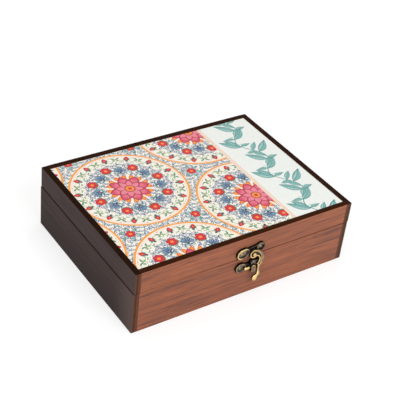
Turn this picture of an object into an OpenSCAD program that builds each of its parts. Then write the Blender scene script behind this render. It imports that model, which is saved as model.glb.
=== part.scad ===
// Tea bag organizer box: a laminated board box with a hinged lid, an egg-crate divider
// and a swing latch. The origin is the centre of the base's underside, +Z is up,
// X runs along the front and -Y points out of the front.

/* [Box] */
// Outside width, left to right
box_w = 240; // [200:1:300]
// Outside depth of the boards, front to back
box_d = 180; // [150:1:220]
// Height of the base, floor to seam
base_h = 44.6; // [40:0.2:70]
// Height of the lid, seam to rim
lid_h = 22; // [18:0.5:40]
// Thickness of the wall boards
wall_t = 6; // [4.5:0.5:8]
// Thickness of the bottom board
bottom_t = 3; // [2:0.5:5]
// Thickness of the lid's top board
top_t = 3; // [2:0.5:5]
// Gap of the seam between base and lid
seam_gap = 0.3; // [0.2:0.1:1]
// How far the lid sits to the right of the base
lid_set = 0.6; // [0:0.1:1]

/* [Printed top sheet] */
// Thickness of the printed sheet
sheet_t = 0.4; // [0.3:0.1:1]
// How far the sheet lies below the rim of the lid
sheet_recess = 0.3; // [0.1:0.1:1]
// Gap round the sheet, to the rim of the lid
sheet_gap = 0.3; // [0.1:0.1:1]

/* [Divider] */
// Compartments side by side
columns = 3; // [3:1:5]
// Thickness of the divider boards
divider_t = 3; // [2:0.5:4]
// How far the dividers' tops lie below the seam
divider_drop = 3.6; // [1:0.2:10]
// Gap between a divider's ends and the walls
divider_gap = 0.25; // [0.1:0.05:0.5]
// Gap on each side of the crossed slots
slot_gap = 0.15; // [0.1:0.05:0.3]

/* [Hinges] */
// Distance from a hinge's centre to the end of the box
hinge_inset = 45; // [30:1:60]
// Length of a hinge along the seam
hinge_w = 25; // [20:1:40]
// Height of a leaf from the pin's axis
leaf_h = 10; // [9:0.5:14]
// Thickness of a leaf
leaf_t = 0.9; // [0.7:0.1:1.2]
// Outside radius of the knuckles
knuckle_r = 1.7; // [1.5:0.1:2.2]
// Radius of the hinge pin
pin_r = 0.8; // [0.6:0.05:1]
// Running clearance of the pin in the knuckles
pin_clear = 0.05; // [0.03:0.01:0.1]
// Angle at which the lid's stop tab meets the base leaf
open_angle = 105; // [95:1:120]

/* [Latch] */
// Sideways place of the latch plate on the lid from the middle of the box
latch_x = 2; // [-20:0.5:20]
// How far the catch plate on the base sits to the left of the latch plate
catch_shift = 0.8; // [0:0.1:3]
// Thickness of the latch plates
plate_t = 2.8; // [2.4:0.1:4]
// Angle by which the plate on the lid is turned, its right end up
latch_tilt = 8; // [0:1:10]
// Length of the latch plate on the lid
latch_plate_w = 31; // [30:0.5:40]
// Height of the left wing of the plate on the lid
latch_wing_h = 11.4; // [10:0.2:12.4]
// Height of the lid plate's middle above the seam
latch_plate_rise = 7.1; // [6:0.1:9]
// Length of the catch plate on the base
catch_plate_w = 28.5; // [28:0.5:36]
// Height of the left wing of the catch plate
catch_wing_h = 10.4; // [10:0.2:12]
// Depth of the catch plate's middle below the seam
catch_plate_drop = 10; // [8:0.1:12]
// Size of a plate's right wing as a share of its left one
small_wing = 0.84; // [0.8:0.01:1]
// Reach of the swing arm from its pivot to the tip of its tail
arm_len = 31; // [29:0.5:33]
// Thickness of the swing arm
arm_t = 2; // [1.5:0.1:2.6]
// Gap between the arm and the plate behind it
arm_gap = 0.2; // [0.1:0.05:0.4]
// Gap between the arm's flared tail and the catch post behind it
tail_gap = 0.4; // [0.3:0.05:0.8]
// Radius of the arm's round eye
eye_r = 4.7; // [4:0.1:5]
// Radius of the rivet's shank
rivet_r = 1.3; // [1:0.1:1.6]
// Radius of the rivet's domed head
rivet_head_r = 2.2; // [2:0.1:2.6]

/* [Screws] */
// Radius of a screw's shank
screw_r = 0.8; // [0.6:0.1:1]
// Radius of a screw's head
screw_head_r = 1.8; // [1.5:0.1:2]
// Height of a screw's head
screw_head_h = 0.8; // [0.6:0.1:1]
// How deep a screw bites into the wall
screw_bite = 4; // [3:0.5:4]
// Clearance of a shank in its pilot hole
pilot_clear = 0.05; // [0.03:0.01:0.1]

/* [Hidden] */
$fn = 64;

// Box
inner_w = box_w - 2 * wall_t;
inner_d = box_d - 2 * wall_t;
lid_z = base_h + seam_gap;
rim_z = lid_z + lid_h;
sheet_top_z = rim_z - sheet_recess;
top_board_z = sheet_top_z - sheet_t - top_t;
seam_z = base_h + seam_gap / 2;

// Divider
divider_h = base_h - bottom_t - divider_drop;
column_pitch = (inner_w + divider_t) / columns;
slot_w = divider_t + 2 * slot_gap;
slot_h = divider_h / 2 + slot_gap;

// Hinges
hinge_x = box_w / 2 - hinge_inset;
knuckle_stand = 0.1;
pin_y = box_d / 2 + knuckle_r + knuckle_stand;
leaf_relief = 0.25;
knuckle_gap = 0.15;
knuckle_w = hinge_w / 3;
stop_tab_len = 3.6;
stop_tab_gap = 0.1;
hinge_screw_x = hinge_w / 3;
hinge_screw_rise = (leaf_h + knuckle_r + leaf_relief) / 2;

// Latch
dish_depth = 1.3;
dish_rim = 1.5;
latch_stretch = 3;
catch_stretch = 1.5;
edge_step = 0.6;
latch_plate_z = lid_z + latch_plate_rise;
catch_plate_x = latch_x - catch_shift;
catch_plate_z = base_h - catch_plate_drop;
arm_unit = arm_len / 31;
pivot_x = latch_x + 2.2;
pivot_z = latch_plate_z - 2.9;
arm_v = plate_t + arm_gap;
arm_front_v = arm_v + arm_t;
eye_groove = 0.7;
rivet_head_h = 1.3;
head_gap = 0.1;
post_set = 0.4;
post_v = arm_front_v - post_set;
post_x = pivot_x + 2.2 * arm_unit;
post_z = pivot_z - 18.2 * arm_unit;
post_r = 2.4;
post_half_h = 4.4;
knob_x = pivot_x + 1.1 * arm_unit;
knob_z = pivot_z - 9.8 * arm_unit;
knob_w = 6;
knob_r = 1.5;
knob_tilt = 14;
tail_v = post_v + tail_gap;
neck_top = -19.4 * arm_unit;
neck_bottom = -24.2 * arm_unit;
screw_len = screw_bite;

// ---------------------------------------------------------------- helpers

// Points of an arc from angle a0 to a1 in n steps.
function arc(centre, r, a0, a1, n) =
    [for (i = [0:n]) centre + r * [cos(a0 + (a1 - a0) * i / n), sin(a0 + (a1 - a0) * i / n)]];

// Points of a cubic curve, without its first point.
function curve(p, q, r, s, n) =
    [for (i = [1:n]) let (t = i / n, u = 1 - t)
        u * u * u * p + 3 * u * u * t * q + 3 * u * t * t * r + t * t * t * s];

// Draws its children on the front face: x stays, y becomes height and z points out of the box.
module on_front() translate([0, -box_d / 2, 0]) rotate([90, 0, 0]) children();

// Draws its children on the back face in the same way.
module on_back() translate([0, box_d / 2, 0]) rotate([90, 0, 0]) mirror([0, 0, 1]) children();

// A board given by its lowest corner and its size.
module board(corner, size) translate(corner) cube(size);

// A dome of radius r and height h on the plane z = 0.
module dome(r, h) {
    ball_r = (r * r + h * h) / (2 * h);
    intersection() {
        translate([0, 0, h - ball_r]) sphere(r = ball_r);
        cylinder(r = r + 1, h = h + 1);
    }
}

// A flat bar of length l and half-height r with round ends.
module capsule(l, r) {
    for (s = [-1, 1]) translate([s * (l / 2 - r), 0]) circle(r = r);
    square([l - 2 * r, 2 * r], center = true);
}

// A screw with a crossed slot, whose head rests at height seat over the wall.
module screw(seat) {
    slot_wide = 0.5;
    slot_deep = screw_head_h / 2;
    translate([0, 0, -screw_len]) cylinder(r = screw_r, h = screw_len + seat);
    translate([0, 0, seat]) difference() {
        dome(screw_head_r, screw_head_h);
        for (a = [45, 135]) rotate([0, 0, a])
            translate([-screw_head_r * 0.6, -slot_wide / 2, screw_head_h - slot_deep])
                cube([screw_head_r * 1.2, slot_wide, slot_deep + 1]);
    }
}

// The pilot hole that a screw bites into.
module pilot_hole() {
    tip_room = 0.1;
    translate([0, 0, -screw_len - tip_room])
        cylinder(r = screw_r + pilot_clear, h = screw_len + tip_room + 1);
}

// ---------------------------------------------------------------- screw places

// Places of a plate's two wings along it.
function wing_places(w, wing_h) = [-(w - wing_h) / 2, w / 2 - small_wing * wing_h / 2];

module at_latch_plate()
    translate([latch_x, latch_plate_z, 0]) rotate([0, 0, latch_tilt]) children();

module at_latch_screws()
    at_latch_plate() for (x = wing_places(latch_plate_w, latch_wing_h)) translate([x, 0, 0]) children();

module at_catch_screws()
    for (x = wing_places(catch_plate_w, catch_wing_h))
        translate([catch_plate_x + x, catch_plate_z, 0]) children();

// side is -1 for the screws in the base and 1 for those in the lid.
module at_hinge_screws(side)
    for (h = [-1, 1], s = [-1, 1])
        translate([h * hinge_x + s * hinge_screw_x, seam_z + side * hinge_screw_rise, 0]) children();

// ---------------------------------------------------------------- base

module base_front_wall() color([0.6, 0.36, 0.27]) difference() {
    board([-inner_w / 2, -box_d / 2, 0], [inner_w, wall_t, base_h]);
    on_front() at_catch_screws() pilot_hole();
}

module base_back_wall() color([0.6, 0.36, 0.27]) difference() {
    board([-inner_w / 2, box_d / 2 - wall_t, 0], [inner_w, wall_t, base_h]);
    on_back() at_hinge_screws(-1) pilot_hole();
}

module base_side_wall(side) color([0.27, 0.22, 0.21])
    board([side * (box_w - wall_t) / 2 - wall_t / 2, -box_d / 2, 0], [wall_t, box_d, base_h]);

module base_bottom() color([0.3, 0.2, 0.14])
    board([-inner_w / 2, -inner_d / 2, 0], [inner_w, inner_d, bottom_t]);

// ---------------------------------------------------------------- divider

module long_divider() color([0.36, 0.23, 0.16]) {
    len = inner_w - 2 * divider_gap;
    difference() {
        board([-len / 2, -divider_t / 2, bottom_t], [len, divider_t, divider_h]);
        for (i = [1:columns - 1])
            board([-inner_w / 2 - divider_t / 2 + i * column_pitch - slot_w / 2, -divider_t,
                    bottom_t + divider_h - slot_h], [slot_w, 2 * divider_t, slot_h + 1]);
    }
}

// i counts the cross boards from the left.
module cross_divider(i) color([0.36, 0.23, 0.16]) {
    len = inner_d - 2 * divider_gap;
    x = -inner_w / 2 - divider_t / 2 + i * column_pitch;
    difference() {
        board([x - divider_t / 2, -len / 2, bottom_t], [divider_t, len, divider_h]);
        board([x - divider_t, -slot_w / 2, bottom_t - 1], [2 * divider_t, slot_w, slot_h + 1]);
    }
}

// Any cross boards between the two outer ones belong to the right-hand node.
module cross_dividers_right() for (i = [2:1:columns - 1]) cross_divider(i);

// ---------------------------------------------------------------- lid

module lid_front_wall() color([0.6, 0.36, 0.27]) difference() {
    board([lid_set - inner_w / 2, -box_d / 2, lid_z], [inner_w, wall_t, lid_h]);
    on_front() at_latch_screws() pilot_hole();
}

module lid_back_wall() color([0.6, 0.36, 0.27]) difference() {
    board([lid_set - inner_w / 2, box_d / 2 - wall_t, lid_z], [inner_w, wall_t, lid_h]);
    on_back() at_hinge_screws(1) pilot_hole();
}

module lid_side_wall(side) color([0.27, 0.22, 0.21])
    board([lid_set + side * (box_w - wall_t) / 2 - wall_t / 2, -box_d / 2, lid_z],
        [wall_t, box_d, lid_h]);

module lid_top() color([0.3, 0.2, 0.14])
    board([lid_set - inner_w / 2, -inner_d / 2, top_board_z], [inner_w, inner_d, top_t]);

module printed_sheet() color([0.92, 0.93, 0.9])
    board([lid_set - inner_w / 2 + sheet_gap, -inner_d / 2 + sheet_gap, top_board_z + top_t],
        [inner_w - 2 * sheet_gap, inner_d - 2 * sheet_gap, sheet_t]);

// ---------------------------------------------------------------- hinges

// One knuckle from x0 to x1 about the pin, with the strap that joins it to its leaf.
module knuckle(x0, x1, side) {
    translate([x0, pin_y, seam_z]) rotate([0, 90, 0]) cylinder(r = knuckle_r, h = x1 - x0);
    board([x0, box_d / 2, seam_z + (side > 0 ? 0 : -knuckle_r - leaf_relief)],
        [x1 - x0, leaf_t, knuckle_r + leaf_relief]);
}

module leaf_plate(side) difference() {
    low = seam_z + (side > 0 ? knuckle_r + leaf_relief : -leaf_h);
    board([-hinge_w / 2, box_d / 2, low], [hinge_w, leaf_t, leaf_h - knuckle_r - leaf_relief]);
    for (s = [-1, 1])
        translate([s * hinge_screw_x, box_d / 2 + leaf_t / 2, seam_z + side * hinge_screw_rise])
            rotate([90, 0, 0]) cylinder(r = screw_r + pilot_clear, h = 2 * leaf_t, center = true);
}

module pin_bore()
    translate([-hinge_w, pin_y, seam_z]) rotate([0, 90, 0])
        cylinder(r = pin_r + pin_clear, h = 2 * hinge_w);

module hinge_base_leaf(h) color([0.45, 0.36, 0.2]) translate([h * hinge_x, 0, 0]) difference() {
    union() {
        leaf_plate(-1);
        knuckle(-hinge_w / 2, -knuckle_w / 2 - knuckle_gap / 2, -1);
        knuckle(knuckle_w / 2 + knuckle_gap / 2, hinge_w / 2, -1);
    }
    pin_bore();
}

// The stop tab stands on the middle knuckle and lies along the base leaf when the lid is open.
module stop_tab()
    translate([0, pin_y, seam_z]) rotate([open_angle, 0, 0])
        translate([-knuckle_w / 2 + knuckle_gap / 2, leaf_t + stop_tab_gap - pin_y + box_d / 2,
                -stop_tab_len])
            cube([knuckle_w - knuckle_gap, knuckle_r - pin_r, stop_tab_len]);

module hinge_lid_leaf(h) color([0.45, 0.36, 0.2]) translate([h * hinge_x, 0, 0]) difference() {
    union() {
        leaf_plate(1);
        knuckle(-knuckle_w / 2 + knuckle_gap / 2, knuckle_w / 2 - knuckle_gap / 2, 1);
        stop_tab();
    }
    pin_bore();
}

module hinge_pin(h) color([0.5, 0.4, 0.22]) translate([h * hinge_x, pin_y, seam_z])
    rotate([0, 90, 0]) {
        head_h = 0.6;
        cylinder(r = pin_r, h = hinge_w + 2 * knuckle_gap, center = true);
        for (s = [-1, 1])
            translate([0, 0, s * (hinge_w / 2 + knuckle_gap + head_h / 2)])
                cylinder(r = (pin_r + knuckle_r) / 2, h = head_h, center = true);
    }

module hinge_screws(side) color([0.4, 0.32, 0.18]) on_back() at_hinge_screws(side) screw(leaf_t);

// ---------------------------------------------------------------- latch

// Outline of a latch plate: a large, longer wing and a small round one, joined by a waist.
module plate_outline(w, wing_h, stretch, inset) {
    waist = wing_h * 0.8;
    places = wing_places(w, wing_h);
    translate([places[0] + stretch / 2, 0])
        capsule(wing_h + stretch - 2 * inset, wing_h / 2 - inset);
    translate([places[1], 0]) circle(r = small_wing * wing_h / 2 - inset);
    translate([(places[0] + places[1]) / 2, 0])
        square([places[1] - places[0], small_wing * waist - 2 * inset], center = true);
}

// A plate with stepped edges and a dished wing round each screw.
module stepped_plate(w, wing_h, stretch) difference() {
    rim = edge_step + dish_rim;
    places = wing_places(w, wing_h);
    union() {
        linear_extrude(plate_t - edge_step) plate_outline(w, wing_h, stretch, 0);
        translate([0, 0, plate_t - edge_step])
            linear_extrude(edge_step) plate_outline(w, wing_h, stretch, edge_step * 0.8);
    }
    translate([places[0] + stretch / 2, 0, plate_t - dish_depth])
        linear_extrude(dish_depth + 1) capsule(wing_h + stretch - 2 * rim, wing_h / 2 - rim);
    translate([places[1], 0, plate_t - dish_depth])
        cylinder(r = small_wing * wing_h / 2 - rim, h = dish_depth + 1);
    for (x = places) translate([x, 0, -1])
        cylinder(r = screw_r + pilot_clear, h = plate_t + 2);
}

module latch_plate() color([0.35, 0.29, 0.17]) on_front() difference() {
    union() {
        at_latch_plate() stepped_plate(latch_plate_w, latch_wing_h, latch_stretch);
        translate([pivot_x, pivot_z, 0]) cylinder(r = eye_r - edge_step, h = plate_t);
    }
    translate([pivot_x, pivot_z, -1]) cylinder(r = rivet_r, h = plate_t + 2);
}

module latch_rivet() color([0.75, 0.6, 0.3]) on_front() translate([pivot_x, pivot_z, 0]) {
    cylinder(r = rivet_r, h = arm_front_v + head_gap);
    translate([0, 0, arm_front_v + head_gap]) dome(rivet_head_r, rivet_head_h);
}

// Outline of the arm about its pivot: the round eye, the wide hook that curls to the right,
// the inner point, the narrow neck and the drop-shaped tail.
function arm_points() =
    let (
        u = arm_unit,
        eye_start = -46,
        eye_end = -296,
        shoulder = eye_r * [cos(eye_end), sin(eye_end)],
        bulge = u * [13.3, -10.2],
        neck_right = u * [9.3, -18],
        tail_right = u * [9, -26],
        tail_left = u * [0.1, -27.6],
        neck_left = u * [6.2, -20.4],
        point = u * [4.7, -12.9],
        hollow = u * [6.8, -8],
        hollow_top = eye_r * [cos(eye_start), sin(eye_start)]
    ) concat(
        arc([0, 0], eye_r, eye_start, eye_end, 24),
        curve(shoulder, u * [7.2, 3.5], u * [12.6, -3.2], bulge, 8),
        curve(bulge, u * [13.6, -14.4], u * [10, -15], neck_right, 8),
        curve(neck_right, u * [8.8, -20.6], u * [9.1, -22.8], tail_right, 6),
        curve(tail_right, u * [8.7, -33], u * [-0.4, -33.2], tail_left, 10),
        curve(tail_left, u * [0.5, -24.4], u * [6, -25.4], neck_left, 6),
        curve(neck_left, u * [6.4, -17.2], u * [6.4, -14.8], point, 6),
        curve(point, u * [6.1, -11.6], u * [6.8, -10], hollow, 4),
        curve(hollow, u * [6.8, -5.8], u * [5.2, -4.2], hollow_top, 4)
    );

// The part of the arm between two heights, from out to out + arm_t away from the wall.
module arm_slice(low, high, out) translate([0, 0, out]) linear_extrude(arm_t) intersection() {
    polygon(arm_points());
    translate([-eye_r * 2, low]) square([eye_r * 6, high - low]);
}

// The bend of the neck, where the arm steps out from the plate to clear the catch post.
module arm_bend() {
    out = tail_v - arm_v;
    drop = neck_top - neck_bottom;
    intersection() {
        translate([0, 0, arm_v - 1]) linear_extrude(out + arm_t + 2) intersection() {
            polygon(arm_points());
            translate([-eye_r * 2, neck_bottom]) square([eye_r * 6, drop]);
        }
        rotate([0, -90, 0]) translate([0, 0, -eye_r * 4]) linear_extrude(eye_r * 8)
            polygon([[arm_v, neck_top], [arm_v + arm_t, neck_top],
                [tail_v + arm_t, neck_bottom], [tail_v, neck_bottom]]);
    }
}

module latch_arm() color([0.72, 0.58, 0.3]) on_front() translate([pivot_x, pivot_z, 0])
    difference() {
        reach = 40;
        ring = 1;
        union() {
            arm_slice(neck_top, eye_r + 1, arm_v);
            arm_bend();
            arm_slice(-reach, neck_bottom, tail_v);
        }
        translate([0, 0, arm_v - 1]) cylinder(r = rivet_r + pin_clear, h = arm_t + 2);
        translate([0, 0, arm_front_v - eye_groove]) cylinder(r = eye_r - ring, h = eye_groove + 1);
    }

// The catch plate carries an oval knob inside the arm's hook, a seat for the post and a bead.
module catch_plate() color([0.35, 0.29, 0.17]) on_front() {
    bead_w = 6.6;
    bead_r = 1.7;
    bead_h = 1.2;
    bead_x = post_x - post_r - bead_w / 2 - 1.1;
    translate([catch_plate_x, catch_plate_z, 0])
        stepped_plate(catch_plate_w, catch_wing_h, catch_stretch);
    translate([bead_x, catch_plate_z - bead_r, plate_t])
        linear_extrude(bead_h) capsule(bead_w, bead_r);
    translate([post_x, post_z, 0]) rotate([0, 0, 90])
        linear_extrude(plate_t) capsule(2 * post_half_h, post_r);
    translate([knob_x, knob_z, 0]) rotate([0, 0, knob_tilt])
        linear_extrude(post_v) capsule(knob_w, knob_r);
}

// The upright oval post that the arm's neck lies beside.
module catch_post() color([0.6, 0.48, 0.25]) on_front() translate([post_x, post_z, plate_t])
    rotate([0, 0, 90]) linear_extrude(post_v - plate_t) capsule(2 * post_half_h, post_r);

module latch_screws() color([0.4, 0.32, 0.18])
    on_front() at_latch_screws() screw(plate_t - dish_depth);

module catch_screws() color([0.4, 0.32, 0.18])
    on_front() at_catch_screws() screw(plate_t - dish_depth);

// ---------------------------------------------------------------- nodes

base_front_wall();
base_back_wall();
base_side_wall(-1);  // base_left_wall
base_side_wall(1);  // base_right_wall
base_bottom();
long_divider();
cross_divider(1);  // cross_divider_left
cross_dividers_right();  // cross_divider_right
lid_front_wall();
lid_back_wall();
lid_side_wall(-1);  // lid_left_wall
lid_side_wall(1);  // lid_right_wall
lid_top();
printed_sheet();
hinge_base_leaf(-1);  // hinge_base_leaf_left
hinge_lid_leaf(-1);  // hinge_lid_leaf_left
hinge_pin(-1);  // hinge_pin_left
hinge_base_leaf(1);  // hinge_base_leaf_right
hinge_lid_leaf(1);  // hinge_lid_leaf_right
hinge_pin(1);  // hinge_pin_right
hinge_screws(-1);  // hinge_base_screws
hinge_screws(1);  // hinge_lid_screws
latch_plate();
latch_rivet();
latch_arm();
latch_screws();
catch_plate();
catch_post();
catch_screws();
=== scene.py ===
"""Finishes, printed lid sheet, light and camera for a tea bag organizer box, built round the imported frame."""
import logging
import math
from collections.abc import Sequence
from dataclasses import dataclass, field
from enum import Enum
from typing import ClassVar

import bpy
from bpy.types import Material, Mesh, Node, NodeOutputs, NodeSocket, NodeTree, Object
from mathutils import Matrix, Vector
from mathutils.geometry import delaunay_2d_cdt
from mathutils.kdtree import KDTree


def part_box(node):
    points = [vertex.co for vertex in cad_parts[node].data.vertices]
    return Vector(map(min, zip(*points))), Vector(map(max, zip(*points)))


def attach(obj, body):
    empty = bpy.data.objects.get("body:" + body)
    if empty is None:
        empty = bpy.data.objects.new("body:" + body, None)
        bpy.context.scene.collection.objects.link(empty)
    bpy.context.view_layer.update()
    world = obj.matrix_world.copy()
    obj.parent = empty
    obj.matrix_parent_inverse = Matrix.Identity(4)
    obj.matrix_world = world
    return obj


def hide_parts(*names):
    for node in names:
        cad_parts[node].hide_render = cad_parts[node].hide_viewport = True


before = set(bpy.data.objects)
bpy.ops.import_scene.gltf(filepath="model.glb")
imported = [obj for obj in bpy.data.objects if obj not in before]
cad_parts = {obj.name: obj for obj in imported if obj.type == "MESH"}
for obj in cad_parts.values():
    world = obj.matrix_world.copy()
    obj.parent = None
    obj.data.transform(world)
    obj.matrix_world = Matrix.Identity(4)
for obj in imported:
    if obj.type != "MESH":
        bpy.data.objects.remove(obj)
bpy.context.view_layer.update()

MM = 0.001
WEAR_RADIUS = 0.5 * MM
GRAIN_DEPTH = 0.04 * MM
FIBRE_DEPTH = 0.03 * MM
TOOTH_DEPTH = 0.02 * MM
NOISE_RANGE = (0.3, 0.7)
LOG = logging.getLogger("tea_box")

Point = tuple[float, float]
Triple = tuple[float, float, float]
Colour = Triple


# ---------------------------------------------------------------- small helpers


def srgb(red: int, green: int, blue: int) -> Colour:
    """Turns a display colour into the linear colour that shaders take.

    Args:
        red, green, blue: the channels, 0 to 255.

    Returns:
        The linear colour, 0 to 1.
    """
    def linear(channel: float) -> float:
        """Undoes the display curve of one channel."""
        share = channel / 255
        return share / 12.92 if share <= 0.04045 else ((share + 0.055) / 1.055) ** 2.4

    return linear(red), linear(green), linear(blue)


class Body(Enum):
    """The moving bodies of the box."""

    BASE = "base"
    LID = "lid"
    ARM = "latch_arm"


class Along(Enum):
    """The axis that a board's figure runs along."""

    X = "x"
    Y = "y"


class Socket(Enum):
    """The kinds of socket that a node group has."""

    VALUE = "NodeSocketFloat"
    COLOUR = "NodeSocketColor"
    VECTOR = "NodeSocketVector"


class Graph:
    """Adds nodes to one shader tree and links them."""

    def __init__(self, tree: NodeTree) -> None:
        """Keeps the tree that the nodes go into."""
        self.tree = tree

    def feed(self, socket: NodeSocket, value: object) -> None:
        """Links an input to the socket that feeds it, or sets its value, giving a colour its alpha.

        Args:
            socket: the input.
            value: its value, or the socket that feeds it.
        """
        if isinstance(value, NodeSocket):
            self.tree.links.new(value, socket)
        else:
            socket.default_value = (*value, 1.0) if socket.type == "RGBA" else value

    def add(self, kind: str, inputs: dict | None = None, **settings: object) -> Node:
        """Adds one node.

        Args:
            kind: the node's type, such as ShaderNodeTexNoise.
            inputs: socket name or index to a value or to the socket that feeds it.
            settings: the node's own properties.

        Returns:
            The new node.
        """
        node = self.tree.nodes.new(kind)
        for name, value in settings.items():
            setattr(node, name, value)
        for name, value in (inputs or {}).items():
            self.feed(node.inputs[name], value)
        return node

    def use(self, group: NodeTree, **inputs: object) -> NodeOutputs:
        """Adds a shared group, with what feeds it by name, and returns its outputs."""
        return self.add("ShaderNodeGroup", inputs, node_tree=group).outputs

    def math(self, operation: str, first: object, second: object = 0.0) -> NodeSocket:
        """Adds a Math node and returns its output."""
        return self.add("ShaderNodeMath", {0: first, 1: second}, operation=operation).outputs[0]

    def product(self, first: object, *others: object) -> NodeSocket:
        """Multiplies values.

        Args:
            first: a value or a socket.
            others: what it is multiplied by.

        Returns:
            The product's socket.
        """
        for other in others:
            first = self.math("MULTIPLY", first, other)
        return first

    def vector(self, operation: str, first: object, second: object = (0.0, 0.0, 0.0)) -> NodeSocket:
        """Adds a Vector Math node.

        Args:
            operation: what it does.
            first: its first vector.
            second: its second vector, or the factor to scale by.

        Returns:
            Its output, a number where the operation gives one.
        """
        node = self.add("ShaderNodeVectorMath", {0: first, "Scale" if operation == "SCALE" else 1: second},
                        operation=operation)
        return node.outputs["Value" if operation in ("DOT_PRODUCT", "LENGTH") else "Vector"]

    def axes(self, vector: object) -> NodeOutputs:
        """Returns the three coordinates of a vector."""
        return self.add("ShaderNodeSeparateXYZ", {0: vector}).outputs

    def mix(self, factor: object, first: object, second: object) -> NodeSocket:
        """Mixes two colours and returns the result's socket."""
        return self.add("ShaderNodeMix", {0: factor, 6: first, 7: second}, data_type="RGBA").outputs[2]

    def smooth(self, value: object, low: float, high: float, start: float = 0.0,
               end: float = 1.0) -> NodeSocket:
        """Maps a value smoothly from low..high to start..end and returns the result's socket."""
        return self.add("ShaderNodeMapRange", {0: value, 1: low, 2: high, 3: start, 4: end},
                        interpolation_type="SMOOTHSTEP").outputs[0]

    def place(self, output: str = "Object") -> NodeSocket:
        """Returns the object coordinates, in metres along the frame's axes, or the other output named."""
        return self.add("ShaderNodeTexCoord").outputs[output]

    def stretch(self, vector: object, scale: Triple) -> NodeSocket:
        """Scales coordinates by axis and returns them."""
        return self.add("ShaderNodeMapping", {"Vector": vector, "Scale": scale}).outputs[0]

    def noise(self, vector: object, scale: float | Triple, detail: float, rough: float) -> NodeSocket:
        """Adds a noise texture.

        Args:
            vector: its coordinates.
            scale: how many blotches a metre holds, or how many along each axis.
            detail: how many finer layers it has.
            rough: how strong the finer layers are.

        Returns:
            The texture's value.
        """
        if isinstance(scale, tuple):
            vector, scale = self.stretch(vector, scale), 1.0
        return self.add("ShaderNodeTexNoise",
                        {"Vector": vector, "Scale": scale, "Detail": detail, "Roughness": rough}).outputs[0]


class GroupGraph(Graph):
    """A shader node group while it is built."""

    def __init__(self, name: str, **inputs: Socket) -> None:
        """Makes the group.

        Args:
            name: its name.
            inputs: its inputs' names, each with its kind.
        """
        super().__init__(bpy.data.node_groups.new(name, "ShaderNodeTree"))
        for label, kind in inputs.items():
            self.tree.interface.new_socket(name=label, in_out="INPUT", socket_type=kind.value)
        self.inputs = self.add("NodeGroupInput").outputs

    def close(self, **outputs: tuple[Socket, NodeSocket]) -> NodeTree:
        """Gives the group its outputs.

        Args:
            outputs: their names, each with its kind and what feeds it.

        Returns:
            The group.
        """
        for label, (kind, _) in outputs.items():
            self.tree.interface.new_socket(name=label, in_out="OUTPUT", socket_type=kind.value)
        end = self.add("NodeGroupOutput")
        for label, (_, value) in outputs.items():
            self.feed(end.inputs[label], value)
        return self.tree


# ---------------------------------------------------------------- shared effects


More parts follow.
